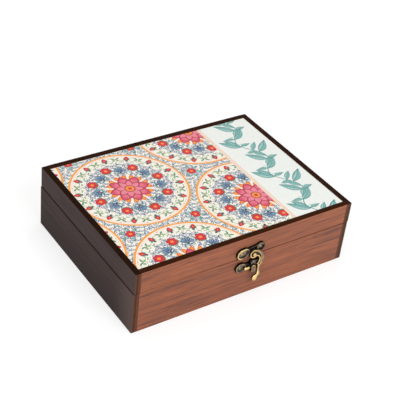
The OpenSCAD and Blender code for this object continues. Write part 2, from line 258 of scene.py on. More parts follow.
class Effects:
    """The shader node groups that several finishes share, each built once.

    The scales of the wood figure are along the grain and, twice, across it.
    """

    drift_scale: ClassVar[Triple] = (14.0, 30.0, 30.0)
    drift_size: ClassVar[Triple] = (0.0, 6.0 * MM, 6.0 * MM)
    band_scale: ClassVar[Triple] = (6.0, 80.0, 80.0)
    streak_scale: ClassVar[Triple] = (14.0, 620.0, 620.0)
    fine_scale: ClassVar[Triple] = (60.0, 1500.0, 1500.0)
    pore_scale: ClassVar[Triple] = (170.0, 3000.0, 3000.0)
    edge_cosines: ClassVar[Point] = (0.995, 0.86)

    def __init__(self) -> None:
        """Builds the groups."""
        self.grain = self._grain()
        self.wear = self._wear()
        self.fibre = self._fibre()
        self.patina = self._patina()

    def _grain(self) -> NodeTree:
        """Wood figure: wide bands, fine streaks and short pores, all along the stretched axis.

        Returns:
            The group, with a colour, a height and a mask of the dark streaks.
        """
        g = GroupGraph("wood_grain", Vector=Socket.VECTOR, Light=Socket.COLOUR, Middle=Socket.COLOUR,
                       Dark=Socket.COLOUR, Contrast=Socket.VALUE, Bend=Socket.VALUE)
        where, dark = g.inputs["Vector"], g.inputs["Dark"]
        drift = g.add("ShaderNodeTexNoise",
                      {"Vector": g.stretch(where, self.drift_scale), "Scale": 1.0, "Detail": 2.0})
        bend = g.vector("SUBTRACT", drift.outputs["Color"], (0.5, 0.5, 0.5))
        bend = g.vector("SCALE", g.vector("MULTIPLY", bend, self.drift_size), g.inputs["Bend"])
        bent = g.vector("ADD", where, bend)
        bands = g.noise(bent, self.band_scale, 2.0, 0.5)
        streaks = g.noise(bent, self.streak_scale, 3.0, 0.55)
        fine = g.noise(bent, self.fine_scale, 3.0, 0.6)
        pores = g.smooth(g.noise(bent, self.pore_scale, 1.0, 0.4), 0.60, 0.70)
        figure = g.math("ADD", g.product(bands, 0.28), g.product(streaks, 0.72))
        figure = g.math("ADD", figure, g.product(g.math("SUBTRACT", fine, 0.5), 0.34))
        spread = g.product(g.math("SUBTRACT", figure, 0.5), g.inputs["Contrast"])
        streaked = g.smooth(spread, -0.01, 0.15)
        colour = g.mix(streaked, g.inputs["Middle"], dark)
        colour = g.mix(g.smooth(spread, 0.01, -0.15), colour, g.inputs["Light"])
        colour = g.mix(g.product(pores, 0.35), colour, dark)
        height = g.math("SUBTRACT", g.product(fine, 0.5), g.product(pores, 0.6))
        return g.close(Colour=(Socket.COLOUR, colour), Height=(Socket.VALUE, height),
                       Streaks=(Socket.VALUE, streaked))

    def _wear(self) -> NodeTree:
        """A mask that is 1 on rubbed outer edges and 0 on flat faces, broken up by noise.

        Returns:
            The group, with that mask.
        """
        g = GroupGraph("edge_wear", Radius=Socket.VALUE, Amount=Socket.VALUE)
        rounded = g.add("ShaderNodeBevel", {"Radius": g.inputs["Radius"]}, samples=6).outputs[0]
        flat = g.add("ShaderNodeNewGeometry").outputs["True Normal"]
        edge = g.smooth(g.vector("DOT_PRODUCT", rounded, flat), *self.edge_cosines)
        broken = g.smooth(g.noise(g.place(), 420.0, 3.0, 0.6), 0.38, 0.62)
        return g.close(Mask=(Socket.VALUE, g.product(edge, broken, g.inputs["Amount"])))

    def _fibre(self) -> NodeTree:
        """Pressed wood fibre: fine cloudy flecks, for cut board edges and the bare boards inside.

        Returns:
            The group, with a colour and a height.
        """
        g = GroupGraph("board_fibre", Colour=Socket.COLOUR, Fleck=Socket.COLOUR, Amount=Socket.VALUE)
        where = g.place()
        fine = g.noise(where, 2600.0, 4.0, 0.7)
        cloud = g.noise(where, 90.0, 3.0, 0.55)
        flecks = g.smooth(g.noise(where, 900.0, 3.0, 0.75), 0.54, 0.68)
        colour = g.mix(g.product(flecks, g.inputs["Amount"]), g.inputs["Colour"], g.inputs["Fleck"])
        colour = g.vector("SCALE", colour, g.smooth(cloud, *NOISE_RANGE, 0.80, 1.12))
        return g.close(Colour=(Socket.COLOUR, colour), Height=(Socket.VALUE, fine))

    def _patina(self) -> NodeTree:
        """Antique metal: bright where it is rubbed, dark tarnish in blotches and hollows.

        Returns:
            The group, with a colour, a roughness and a height.
        """
        g = GroupGraph("metal_patina", Bright=Socket.COLOUR, Body=Socket.COLOUR, Tarnish=Socket.COLOUR,
                       Rubbed=Socket.VALUE)
        where = g.place()
        blotch = g.noise(where, 330.0, 4.0, 0.6)
        speck = g.noise(where, 1900.0, 3.0, 0.6)
        worn = g.math("ADD", g.inputs["Rubbed"], g.product(g.math("SUBTRACT", blotch, 0.5), 0.7))
        colour = g.mix(g.smooth(worn, 0.05, 0.5), g.inputs["Tarnish"], g.inputs["Body"])
        colour = g.mix(g.smooth(worn, 0.5, 1.1), colour, g.inputs["Bright"])
        rough = g.math("ADD", g.smooth(worn, 0.1, 1.0, 0.50, 0.18), g.product(speck, 0.08))
        return g.close(Colour=(Socket.COLOUR, colour), Roughness=(Socket.VALUE, rough),
                       Height=(Socket.VALUE, speck))


# ---------------------------------------------------------------- finishes


class MaterialGraph(Graph):
    """A material with a Principled shader while it is built."""

    def __init__(self, name: str) -> None:
        """Makes the material.

        Args:
            name: its name.
        """
        self.material = bpy.data.materials.new(name)
        self.material.use_nodes = True
        super().__init__(self.material.node_tree)
        self.shader = next(node for node in self.tree.nodes if node.type == "BSDF_PRINCIPLED")

    def bump(self, height: NodeSocket, distance: float, strength: float) -> NodeSocket:
        """Adds a bump of that height in metres and returns its normal."""
        return self.add("ShaderNodeBump",
                        {"Height": height, "Distance": distance, "Strength": strength}).outputs[0]

    def wire(self, **sockets: object) -> Material:
        """Feeds the shader.

        Args:
            sockets: what feeds each input, its name with underscores for spaces.

        Returns:
            The material.
        """
        for label, value in sockets.items():
            self.feed(self.shader.inputs[label.replace("_", " ")], value)
        return self.material


@dataclass(frozen=True)
class Laminate:
    """A wood-look laminate whose figure runs along one axis, with what time and light did to it.

    A fade is painted light that makes a side paler towards its front, a shade is painted shade that darkens it
    towards the floor, and a lip is the height of the seam, paler at its left edge and with painted shade at the
    right.
    """

    faded: ClassVar[Point] = (-52 * MM, -96 * MM)
    painted_shade_span: ClassVar[Point] = (40 * MM, 2 * MM)
    lip_width: ClassVar[Point] = (0.75 * MM, 0.35 * MM)
    lip_reach: ClassVar[Point] = (-75 * MM, 15 * MM)
    lip_strength: ClassVar[float] = 0.8

    name: str
    along: Along
    light: Colour
    middle: Colour
    dark: Colour
    worn: Colour
    contrast: float
    sheen: float
    seam_pale_colour: Colour = srgb(174, 104, 60)
    seam_shade_colour: Colour = srgb(95, 41, 9)
    rough: float = 0.42
    fade: float = 0.0
    shade: float = 0.0
    rubbed: float = 0.2
    bend: float = 1.0
    lip: float | None = None

    def make(self, effects: Effects) -> Material:
        """Builds the material.

        Args:
            effects: the shared groups.

        Returns:
            The material.
        """
        g = MaterialGraph(self.name)
        where = g.place()
        if self.along is Along.Y:
            x, y, z = g.axes(where)
            where = g.add("ShaderNodeCombineXYZ", {0: y, 1: x, 2: z}).outputs[0]
        grain = g.use(effects.grain, Vector=where, Light=self.light, Middle=self.middle, Dark=self.dark,
                      Contrast=self.contrast, Bend=self.bend)
        along, _, height = g.axes(where)
        colour = grain["Colour"]
        # edge wear, to which the sides add painted light towards their front; both mix to the worn colour
        wear_and_painted_light = g.use(effects.wear, Radius=WEAR_RADIUS, Amount=self.rubbed)["Mask"]
        # painted shade: darker towards the floor
        if self.shade:
            colour = g.mix(g.smooth(height, *self.painted_shade_span, 0.0, self.shade), colour, self.dark)
        # painted light: paler towards the front of a side
        if self.fade:
            wear_and_painted_light = g.math("MAXIMUM", wear_and_painted_light, g.smooth(along, *self.faded, 0.0, self.fade))
        if self.lip is None:
            colour = g.mix(wear_and_painted_light, colour, self.worn)
        else:
            # the seam: painted shade in the gap at the right, a paler edge at the left
            right = g.smooth(along, *self.lip_reach)
            away = g.math("ABSOLUTE", g.math("SUBTRACT", height, self.lip))
            near = g.smooth(away, *self.lip_width, 0.0, self.lip_strength)
            colour = g.mix(g.product(wear_and_painted_light, g.math("SUBTRACT", 1.0, right)), colour, self.worn)
            colour = g.mix(near, colour, g.mix(right, self.seam_pale_colour, self.seam_shade_colour))
        return g.wire(Base_Color=colour, Specular_IOR_Level=self.sheen,
                      Roughness=g.smooth(grain["Streaks"], 0.0, 1.0, self.rough, self.rough + 0.1),
                      Normal=g.bump(grain["Height"], GRAIN_DEPTH, 0.6))


@dataclass(frozen=True)
class Board:
    """Stained fibreboard, with rubbed edges."""

    name: str
    colour: Colour
    fleck: Colour = srgb(66, 34, 16)
    worn: Colour = srgb(92, 58, 40)
    rough: float = 0.55
    flecks: float = 0.35
    wear: float = 0.4
    sheen: float = 0.02

    def make(self, effects: Effects) -> Material:
        """Builds the material.

        Args:
            effects: the shared groups.

        Returns:
            The material.
        """
        g = MaterialGraph(self.name)
        fibre = g.use(effects.fibre, Colour=self.colour, Fleck=self.fleck, Amount=self.flecks)
        wear = g.use(effects.wear, Radius=WEAR_RADIUS, Amount=self.wear)
        rough = g.smooth(fibre["Height"], *NOISE_RANGE, self.rough - 0.05, self.rough + 0.07)
        return g.wire(Base_Color=g.mix(wear["Mask"], fibre["Colour"], self.worn), Roughness=rough,
                      Specular_IOR_Level=self.sheen, Normal=g.bump(fibre["Height"], FIBRE_DEPTH, 0.5))


@dataclass(frozen=True)
class CutEnd:
    """The cut end of a side wall: a brown skin outside, a dark core and a brown lining inside."""

    ragged: ClassVar[float] = 0.5 * MM
    skin_blur: ClassVar[float] = 0.15 * MM
    lining_blur: ClassVar[float] = 0.3 * MM
    streak_scale: ClassVar[Triple] = (1400.0, 1400.0, 60.0)

    name: str
    outer: float
    thickness: float
    skin: Colour = srgb(102, 62, 42)
    core: Colour = srgb(72, 45, 32)
    lining: Colour = srgb(106, 64, 43)
    skin_width: float = 1.5 * MM
    lining_width: float = 2.6 * MM

    def make(self, effects: Effects) -> Material:
        """Builds the material.

        Args:
            effects: the shared groups.

        Returns:
            The material.
        """
        g = MaterialGraph(self.name)
        place = g.place()
        depth = g.math("ABSOLUTE", g.math("SUBTRACT", g.axes(place)[0], self.outer))
        wander = g.product(g.math("SUBTRACT", g.noise(place, 260.0, 3.0, 0.6), 0.5), self.ragged)
        depth = g.math("ADD", depth, wander)
        fibre = g.use(effects.fibre, Colour=self.core, Fleck=self.skin, Amount=0.35)
        streak = g.noise(place, self.streak_scale, 3.0, 0.6)
        skin = g.smooth(depth, self.skin_width + self.skin_blur, self.skin_width - self.skin_blur)
        inner = self.thickness - self.lining_width
        lining = g.smooth(depth, inner - self.lining_blur, inner + self.lining_blur)
        pale = g.vector("SCALE", self.skin, g.smooth(streak, *NOISE_RANGE, 0.82, 1.12))
        colour = g.mix(skin, fibre["Colour"], pale)
        colour = g.mix(g.product(lining, 0.9), colour, self.lining)
        return g.wire(Base_Color=colour, Specular_IOR_Level=0.12,
                      Roughness=g.smooth(streak, *NOISE_RANGE, 0.42, 0.55),
                      Normal=g.bump(fibre["Height"], FIBRE_DEPTH, 0.5))


@dataclass(frozen=True)
class Brass:
    """Antique brass: rubbed bright on its crowns and edges, dark on its flanks, dull in its hollows."""

    # the direction that the painted light on castings comes from: upper left front
    painted_light_from: ClassVar[Triple] = (-0.45, -0.80, 0.40)

    name: str
    bright: Colour
    body: Colour
    tarnish: Colour
    rubbed: float
    raised: float
    depth: float
    edges: float = 0.9

    def make(self, effects: Effects, wall: float) -> Material:
        """Builds the material.

        Args:
            effects: the shared groups.
            wall: the Y of the outer face that the metal is fixed to, negative at the front.

        Returns:
            The material.
        """
        g = MaterialGraph(self.name)
        way = math.copysign(1.0, wall)
        height = g.product(g.math("SUBTRACT", g.axes(g.place())[1], wall), way)
        outward = g.smooth(g.product(g.axes(g.place("Normal"))[1], way), 0.25, 0.97)
        raised = g.smooth(height, self.raised - self.depth, self.raised, 0.35, 1.0)
        crown = g.product(raised, outward, self.rubbed)
        wear = g.use(effects.wear, Radius=WEAR_RADIUS, Amount=self.edges)
        return self.finish(g, effects, g.math("MAXIMUM", crown, g.product(wear["Mask"], raised)))

    def cast(self, effects: Effects) -> Material:
        """Builds the material of a casting, whose rub is painted on it, with painted light that brightens the
        faces turned to the upper left.

        Args:
            effects: the shared groups.

        Returns:
            The material.
        """
        g = MaterialGraph(f"{self.name}_cast")
        painted = g.add("ShaderNodeAttribute", attribute_name=Relief.layer).outputs["Fac"]
        # painted light: faces turned to the upper left front get a brighter rub
        lean = g.vector("DOT_PRODUCT", g.place("Normal"), self.painted_light_from)
        return self.finish(g, effects, g.product(painted, g.smooth(lean, 0.2, 0.98, 0.5, 1.2)))

    def finish(self, g: MaterialGraph, effects: Effects, rub: NodeSocket) -> Material:
        """Feeds the shader from the patina.

        Args:
            g: the material's graph.
            effects: the shared groups.
            rub: how bright the metal is rubbed.

        Returns:
            The material.
        """
        patina = g.use(effects.patina, Rubbed=rub, Bright=self.bright, Body=self.body, Tarnish=self.tarnish)
        return g.wire(Base_Color=patina["Colour"], Roughness=patina["Roughness"], Metallic=1.0,
                      Normal=g.bump(patina["Height"], GRAIN_DEPTH, 0.5))


@dataclass(frozen=True)
class Print:
    """Printed paper under a thin clear film: flat ink, fine paper tooth, a little mottling."""

    layer: ClassVar[str] = "ink"

    name: str
    rough: float = 0.38

    def make(self) -> Material:
        """Builds the material.

        Returns:
            The material.
        """
        g = MaterialGraph(self.name)
        place = g.place()
        ink = g.add("ShaderNodeAttribute", attribute_name=self.layer).outputs["Color"]
        mottle = g.smooth(g.noise(place, 700.0, 3.0, 0.6), *NOISE_RANGE, 0.955, 1.02)
        tooth = g.noise(place, 3200.0, 3.0, 0.6)
        return g.wire(Base_Color=g.vector("SCALE", ink, mottle), Specular_IOR_Level=0.35,
                      Roughness=g.smooth(tooth, *NOISE_RANGE, self.rough - 0.04, self.rough + 0.06),
                      Normal=g.bump(tooth, TOOTH_DEPTH, 0.35))


# ---------------------------------------------------------------- the printed sheet's pattern


class Ink(Enum):
    """The printed colours of the lid sheet."""

    BAND = srgb(241, 243, 238)
    CREAM = srgb(249, 242, 229)
    PEACH = srgb(250, 226, 205)
    WHITE = srgb(250, 250, 248)
    ORANGE = srgb(247, 164, 66)
    AMBER = srgb(238, 120, 48)
    RED = srgb(219, 34, 50)
    CRIMSON = srgb(166, 22, 48)
    ROSE = srgb(216, 78, 108)
    PINK = srgb(236, 132, 150)
    STEEL = srgb(98, 126, 156)
    SLATE = srgb(52, 78, 114)
    NAVY = srgb(34, 38, 78)
    POWDER = srgb(142, 172, 186)
    TEAL = srgb(58, 132, 126)
    LAGOON = srgb(131, 182, 177)
    MIST = srgb(170, 207, 201)
    SAGE = srgb(140, 172, 124)
    GREEN = srgb(78, 134, 94)


class Zone(Enum):
    """The two fields of the sheet."""

    MEDALLIONS = "medallions"
    VINE = "vine"


@dataclass
class Shape:
    """One flat patch of ink; later shapes lie over earlier ones."""

    points: list[Point]
    ink: Ink
    zone: Zone


def polar(centre: Point, radius: float, angle: float) -> Point:
    """Returns the point at that distance and angle, in radians, from the centre."""
    return centre[0] + radius * math.cos(angle), centre[1] + radius * math.sin(angle)


def turns(count: int, start: float = 0.0) -> list[float]:
    """Returns that many angles, evenly spread over a full turn."""
    return [start + math.tau * index / count for index in range(count)]


def disc(centre: Point, radius: float, sides: int) -> list[Point]:
    """Returns the outline of a round dot."""
    return [polar(centre, radius, angle) for angle in turns(sides)]


def petal(base: Point, angle: float, length: float, width: float, belly: float = 0.55, steps: int = 6,
          bend: float = 0.0) -> list[Point]:
    """Outlines a petal or leaf with a point at its base and tip.

    Args:
        base: where the petal grows from.
        angle: its direction, in radians.
        length: from base to tip.
        width: at its widest.
        belly: how far along the widest place lies, 0 to 1.
        steps: points along each side.
        bend: how far the tip leans to the left, as a share of the length.

    Returns:
        Its points.
    """
    power = math.log(0.5) / math.log(belly)
    along = Vector((math.cos(angle), math.sin(angle)))
    across = Vector((-along.y, along.x))

    def spot(share: float, half: float) -> Point:
        """Returns the point at that share of the length, half a width aside."""
        return tuple(Vector(base) + along * length * share + across * (half + bend * length * share ** 2))

    sides: list[list[Point]] = []
    for side in (-1, 1):
        shares = [index / steps for index in range(1, steps)]
        sides.append([spot(share, side * width / 2 * math.sin(math.pi * share ** power)) for share in shares])
    return [base, *sides[0], spot(1.0, 0.0), *reversed(sides[1])]


def lobed(centre: Point, radius: float, lobes: int, angle: float) -> list[Point]:
    """Outlines a round flower with that many round lobes.

    Args:
        centre: the flower's middle.
        radius: to the tips of the lobes.
        lobes: how many there are.
        angle: the direction of the first, in radians.

    Returns:
        Its points.
    """
    depth, steps = 0.24, 6
    outline = []
    for turn in turns(lobes * steps):
        rise = abs(math.cos(turn * lobes / 2)) ** 0.6
        outline.append(polar(centre, radius * (1 - depth + depth * rise), turn + angle))
    return outline


def ribbon(path: list[Point], width: float, taper: float = 0.35) -> list[Point]:
    """Outlines a stroke along a path, thinner towards its end.

    Args:
        path: the points of the stroke's middle.
        width: at the start.
        taper: the end's share of the width.

    Returns:
        Its points.
    """
    left, right = [], []
    last = len(path) - 1
    for index, spot in enumerate(path):
        ahead, behind = Vector(path[min(index + 1, last)]), Vector(path[max(index - 1, 0)])
        along = (ahead - behind).normalized()
        across = Vector((-along.y, along.x)) * width / 2 * (1 - (1 - taper) * index / last)
        left.append(tuple(Vector(spot) + across))
        right.append(tuple(Vector(spot) - across))
    return right + left[::-1]


def curl(start: Point, angle: float, size: float, hand: int, amount: float, steps: int = 12) -> list[Point]:
    """Winds a path up into a scroll.

    Args:
        start: the scroll's foot.
        angle: the first direction, in radians.
        size: the length of the path.
        hand: 1 winds to the left, -1 to the right.
        amount: how many half turns it makes.
        steps: how many pieces it has.

    Returns:
        The path's points.
    """
    path, spot, heading = [start], Vector(start), angle
    for index in range(steps):
        share = (index + 0.5) / steps
        step = size / steps * (1.25 - 0.75 * share)
        heading += hand * amount * math.pi * (0.35 + 1.3 * share) / steps
        spot = spot + Vector((math.cos(heading), math.sin(heading))) * step
        path.append(tuple(spot))
    return path


@dataclass
class Pattern:
    """A formal pattern of round medallions beside a leafy vine, in millimetres on the sheet."""

    low: Point
    high: Point
    ring_radius: float = 58.0
    ring_width: float = 2.1
    drop: float = 122.0
    pitch: float = 104.0
    first: Point = (-164.0, -38.0)
    vine_width: float = 60.0
    border: float = 1.2
    line: float = 0.7
    shapes: list[Shape] = field(default_factory=list)

    @property
    def seam(self) -> float:
        """The X at which the medallions end and the vine begins."""
        return self.high[0] - self.vine_width

    def span(self, zone: Zone) -> tuple[Point, Point]:
        """Finds the place of a zone.

        Args:
            zone: the zone.

        Returns:
            Its low and high corner.
        """
        if zone is Zone.MEDALLIONS:
            return self.low, (self.seam, self.high[1])
        return (self.seam, self.low[1]), self.high

    def add(self, points: list[Point], ink: Ink, zone: Zone = Zone.MEDALLIONS) -> None:
        """Lays a shape over the others, unless it is clear of its zone.

        Args:
            points: its outline.
            ink: its colour.
            zone: where it shows.
        """
        low, high = self.span(zone)
        xs, ys = [p[0] for p in points], [p[1] for p in points]
        if max(xs) > low[0] and min(xs) < high[0] and max(ys) > low[1] and min(ys) < high[1]:
            self.shapes.append(Shape(points, ink, zone))

    def draw(self) -> list[Shape]:
        """Draws the whole sheet.

        Returns:
            Its shapes, lowest first.
        """
        for zone, ink in ((Zone.MEDALLIONS, Ink.CREAM), (Zone.VINE, Ink.BAND)):
            (x0, y0), (x1, y1) = self.span(zone)
            self.shapes.append(Shape([(x0, y0), (x1, y0), (x1, y1), (x0, y1)], ink, zone))
        centres = self.centres()
        self.filigree(centres)
        for centre in self.gaps():
            self.spray(centre)
        for centre in centres:
            self.medallion(centre)
        self.vine()
        return self.shapes

    def centres(self) -> list[Point]:
        """Places the medallions, every second column dropped by half a step.

        Returns:
            Their centres.
        """
        found = []
        for column in range(3):
            for row in range(-1, 3):
                shift = self.drop / 2 if column % 2 else 0.0
                found.append((self.first[0] + column * self.pitch, self.first[1] + row * self.drop - shift))
        return found

    def gaps(self) -> list[Point]:
        """Finds the three-sided gaps between the medallions.

        Returns:
            Their middles.
        """
        found = []
        for x, y in self.centres():
            found += [(x + self.pitch / 3, y + self.drop / 2), (x - self.pitch / 3, y + self.drop / 2)]
        return found

    def sprig(self, spot: Point, angle: float, size: float, hand: int) -> None:
        """Draws one knot of the blue filigree: two scrolls, two leaves and a dot.

        Args:
            spot: its foot.
            angle: the first scroll's direction, in radians.
            size: that scroll's length.
            hand: 1 winds it to the left, -1 to the right.
        """
        self.add(ribbon(curl(spot, angle, size, hand, 1.35, 7), 0.95), Ink.STEEL)
        self.add(ribbon(curl(spot, angle + 2.4, size * 0.7, -hand, 1.35, 5), 0.75), Ink.SLATE)
        self.add(petal(spot, angle + 4.2, size * 0.4, size * 0.19, steps=4), Ink.POWDER)
        self.add(petal(spot, angle + 5.3, size * 0.36, size * 0.16, steps=4), Ink.STEEL)
        self.add(disc(polar(spot, size * 0.23, angle + 1.2), size * 0.05, 5), Ink.NAVY)

    def filigree(self, centres: list[Point]) -> None:
        """Fills the ground between the medallions with sprigs.

        Args:
            centres: the medallions' centres.
        """
        step = 5.0
        columns = int((self.seam - self.low[0]) / step) + 2
        rows = int((self.high[1] - self.low[1]) / step) + 2
        for column in range(columns):
            for row in range(rows):
                spot = (self.low[0] + (column + 0.5 * (row % 2)) * step, self.low[1] + row * step)
                if all(math.dist(spot, centre) > self.ring_radius - 3 for centre in centres):
                    angle = (column * 2.4 + row * 3.9) % math.tau
                    self.sprig(spot, angle, 8.0, 1 if (column + row) % 2 else -1)

    def spray(self, centre: Point) -> None:
        """Draws a blossom with leaves in a gap between medallions.

        Args:
            centre: the gap's middle.
        """
        for angle in turns(6, math.pi / 6):
            self.add(petal(polar(centre, 3.0, angle), angle, 7.5, 3.0), Ink.TEAL)
            self.add(petal(polar(centre, 3.4, angle), angle, 5.4, 1.5), Ink.MIST)
        self.blossom(centre, 5.0, 0.3)

    def blossom(self, centre: Point, radius: float, angle: float, petals: int = 5) -> None:
        """Draws a red blossom with an orange eye.

        Args:
            centre: its middle.
            radius: to its tips.
            angle: its first petal's direction, in radians.
            petals: how many it has.
        """
        self.add(lobed(centre, radius, petals, angle), Ink.CRIMSON)
        self.add(lobed(centre, radius * 0.86, petals, angle), Ink.RED)
        for turn in turns(petals, angle + math.pi / petals):
            path = [polar(centre, radius * 0.3, turn), polar(centre, radius * 0.72, turn)]
            self.add(ribbon(path, radius * 0.09), Ink.CRIMSON)
        self.add(disc(centre, radius * 0.36, 9), Ink.AMBER)
        self.add(disc(centre, radius * 0.19, 7), Ink.ORANGE)

    def bud(self, foot: Point, angle: float, size: float) -> None:
        """Draws a red bud in a dark green cup.

        Args:
            foot: where it grows from.
            angle: its direction, in radians.
            size: its length.
        """
        for side in (-0.5, 0.5):
            self.add(petal(foot, angle + side, size * 0.72, size * 0.34), Ink.TEAL)
        self.add(petal(foot, angle, size, size * 0.58, 0.6), Ink.CRIMSON)
        self.add(petal(polar(foot, size * 0.16, angle), angle, size * 0.76, size * 0.42, 0.6), Ink.RED)
        self.add(petal(polar(foot, size * 0.3, angle), angle, size * 0.4, size * 0.16, steps=4), Ink.AMBER)
        self.add(disc(foot, size * 0.14, 6), Ink.NAVY)

    def palmette(self, foot: Point, angle: float, size: float) -> None:
        """Draws a fan of seven blue petals.

        Args:
            foot: where it grows from.
            angle: the middle petal's direction, in radians.
            size: that petal's length.
        """
        for index in range(-3, 4):
            lean = angle + index * 0.36
            length = size * (1 - 0.09 * abs(index))
            self.add(petal(foot, lean, length, size * 0.26, 0.66), Ink.SLATE if index % 2 else Ink.STEEL)
            inner = polar(foot, length * 0.4, lean)
            self.add(petal(inner, lean, length * 0.48, size * 0.11, 0.6, 4), Ink.POWDER)
        self.add(disc(foot, size * 0.13, 7), Ink.NAVY)

    def medallion(self, centre: Point) -> None:
        """Draws one round medallion, from its ring inwards.

        Args:
            centre: its middle.
        """
        radius, inner = self.ring_radius, self.ring_radius - self.ring_width
        rings = ((radius, Ink.ORANGE), (inner, Ink.WHITE), (inner - 0.7, Ink.PEACH), (inner - 2.0, Ink.CREAM))
        for reach, ink in rings:
            self.add(disc(centre, reach, 96), ink)
        self.ground(centre, radius)
        self.garland(centre, radius * 0.86, 14)
        self.lattice(centre, radius * 0.60, 8)
        self.rosette(centre, radius * 0.355)

    def ground(self, centre: Point, radius: float) -> None:
        """Fills the inner rings with filigree that turns about the centre.

        Args:
            centre: the medallion's middle.
            radius: the medallion's size.
        """
        for row, share in enumerate((0.40, 0.475, 0.55, 0.625, 0.70)):
            count = int(math.tau * share * radius / 4.9 / 8) * 8
            for index, angle in enumerate(turns(count, 0.4 * row)):
                self.sprig(polar(centre, radius * share, angle), angle + row * 1.9 + index % 2 * 2.2, 7.6,
                           1 if (row + index) % 2 else -1)

    def garland(self, centre: Point, radius: float, count: int) -> None:
        """Draws the outer garland: a waving stem with buds, curled tendrils, leaf pairs and dots.

        Args:
            centre: the medallion's middle.
            radius: how far out the stem runs.
            count: how many buds and waves it has.
        """
        stem = [polar(centre, radius + 2.4 * math.sin(angle * count), angle) for angle in turns(count * 10)]
        for start in range(0, len(stem), 5):
            piece = [stem[(start + step) % len(stem)] for step in range(6)]
            self.add(ribbon(piece, 0.6, 1.0), Ink.SAGE)
        for index, angle in enumerate(turns(count * 2)):
            foot = polar(centre, radius, angle)
            for side, ink in ((-1, Ink.SAGE), (1, Ink.GREEN)):
                self.add(ribbon(curl(foot, angle + side * 1.25, 7.5, side, 1.3, 8), 0.6), ink)
                self.add(ribbon(curl(foot, angle + math.pi + side * 0.9, 8.5, -side, 1.4, 8), 0.6), Ink.SAGE)
                spot = polar(centre, radius - 4.0, angle + side * 0.06)
                self.add(petal(spot, angle + side * 2.0, 3.6, 1.3, steps=4), ink)
                self.add(disc(polar(centre, radius - 6.4, angle + side * 0.07), 0.42, 6), Ink.NAVY)
            if index % 2:
                self.bud(polar(centre, radius - 3.2, angle), angle, 8.0)
            else:
                for side in (-1, 1):
                    self.add(petal(foot, angle + side * 1.0, 5.4, 1.8), Ink.GREEN)
                    self.add(petal(foot, angle + math.pi + side * 0.9, 4.6, 1.6), Ink.SAGE)
                self.add(disc(polar(centre, radius + 4.4, angle), 0.55, 6), Ink.RED)

    def lattice(self, centre: Point, radius: float, count: int) -> None:
        """Draws the middle ring: palmettes between large blossoms, tied by wide scrolls.

        Args:
            centre: the medallion's middle.
            radius: how far out the ring runs.
            count: how many palmettes it has.
        """
        for index, angle in enumerate(turns(count * 2, math.pi / count / 2)):
            if index % 2:
                self.palmette(polar(centre, radius - 7.0, angle), angle, 10.5)
                foot = polar(centre, radius - 9.0, angle)
                for side in (-1, 1):
                    self.add(petal(foot, angle + side * 1.4, 5.0, 1.8), Ink.TEAL)
                self.add(disc(polar(centre, radius + 7.4, angle), 0.8, 7), Ink.NAVY)
            else:
                foot = polar(centre, radius - 5.5, angle)
                for side in (-1, 1):
                    scroll = curl(foot, angle + side * 0.9, 17.0, -side, 1.5)
                    for width, ink in ((1.1, Ink.CREAM), (0.7, Ink.SLATE)):
                        self.add(ribbon(scroll, width), ink)
                    self.add(petal(foot, angle + side * 0.8, 8.6, 2.8), Ink.GREEN)
                self.blossom(polar(centre, radius + 1.0, angle), 5.6, angle, 6)

    def rosette(self, centre: Point, radius: float) -> None:
        """Draws the middle star: orange tips, sixteen pink petals and a jewelled eye.

        Args:
            centre: its middle.
            radius: to the tips of its pink petals.
        """
        def ray(start: float, angle: float, length: float, width: float, ink: Ink) -> None:
            """Draws a petal that points outwards, its sizes given as shares of the radius."""
            base = polar(centre, radius * start, angle)
            self.add(petal(base, angle, radius * length, radius * width, 0.62), ink)

        for angle in turns(16, math.pi / 16):
            ray(0.55, angle, 0.58, 0.26, Ink.AMBER)
            ray(0.62, angle, 0.40, 0.15, Ink.ORANGE)
        for angle in turns(8):
            ray(0.0, angle, 1.02, 0.56, Ink.CRIMSON)
        for angle in turns(8):
            ray(0.0, angle, 0.96, 0.48, Ink.ROSE)
            for side in (-0.2, -0.07, 0.07, 0.2):
                foot = polar(centre, radius * 0.42, angle + side)
                self.add(petal(foot, angle + side * 0.6, radius * 0.38, radius * 0.05, steps=4), Ink.PINK)
        for angle in turns(8, math.pi / 8):
            ray(0.0, angle, 0.70, 0.36, Ink.CRIMSON)
            ray(0.0, angle, 0.64, 0.29, Ink.PINK)
        for size, sides, ink in ((0.26, 16, Ink.CRIMSON), (0.21, 16, Ink.ORANGE), (0.10, 10, Ink.RED)):
            self.add(disc(centre, radius * size, sides), ink)
        for angle in turns(8):
            self.add(disc(polar(centre, radius * 0.155, angle), radius * 0.025, 5), Ink.CRIMSON)

    def leaf(self, foot: Point, angle: float, length: float, width: float, bend: float) -> None:
        """Draws a veined, bent leaf of the vine.

        Args:
            foot: where it grows from.
            angle: its direction, in radians.
            length: from foot to tip.
            width: at its widest.
            bend: how far the tip leans to the left, as a share of the length.
        """
        belly = 0.45

        def aside(spot: Point, lift: float) -> Point:
            """Returns the point that far to the left of a spot, square to the leaf."""
            return tuple(Vector(spot) + Vector(polar((0.0, 0.0), lift, angle + math.pi / 2)))

        def inner(start: float, span: float, breadth: float, lift: float, ink: Ink) -> None:
            """Draws a smaller leaf along the same bend.

            Args:
                start: where it begins, as a share of the length.
                span: its length, as a share of the leaf's.
                breadth: at its widest.
                lift: how far to the left it lies.
                ink: its colour.
            """
            base = aside(polar(foot, length * start, angle + math.atan(bend * start)), lift)
            turn = angle + 2 * bend * start
            self.add(petal(base, turn, length * span, breadth, belly, 9, bend * 0.75), ink, Zone.VINE)

        def vein(path: list[Point], breadth: float) -> None:
            """Draws a thin line that tapers."""
            self.add(ribbon(path, breadth, 0.4), Ink.TEAL, Zone.VINE)

        def rib(share: float) -> Point:
            """Returns the point of the leaf's middle rib at that share of its length."""
            return aside(polar(foot, length * share, angle), bend * length * share ** 2)

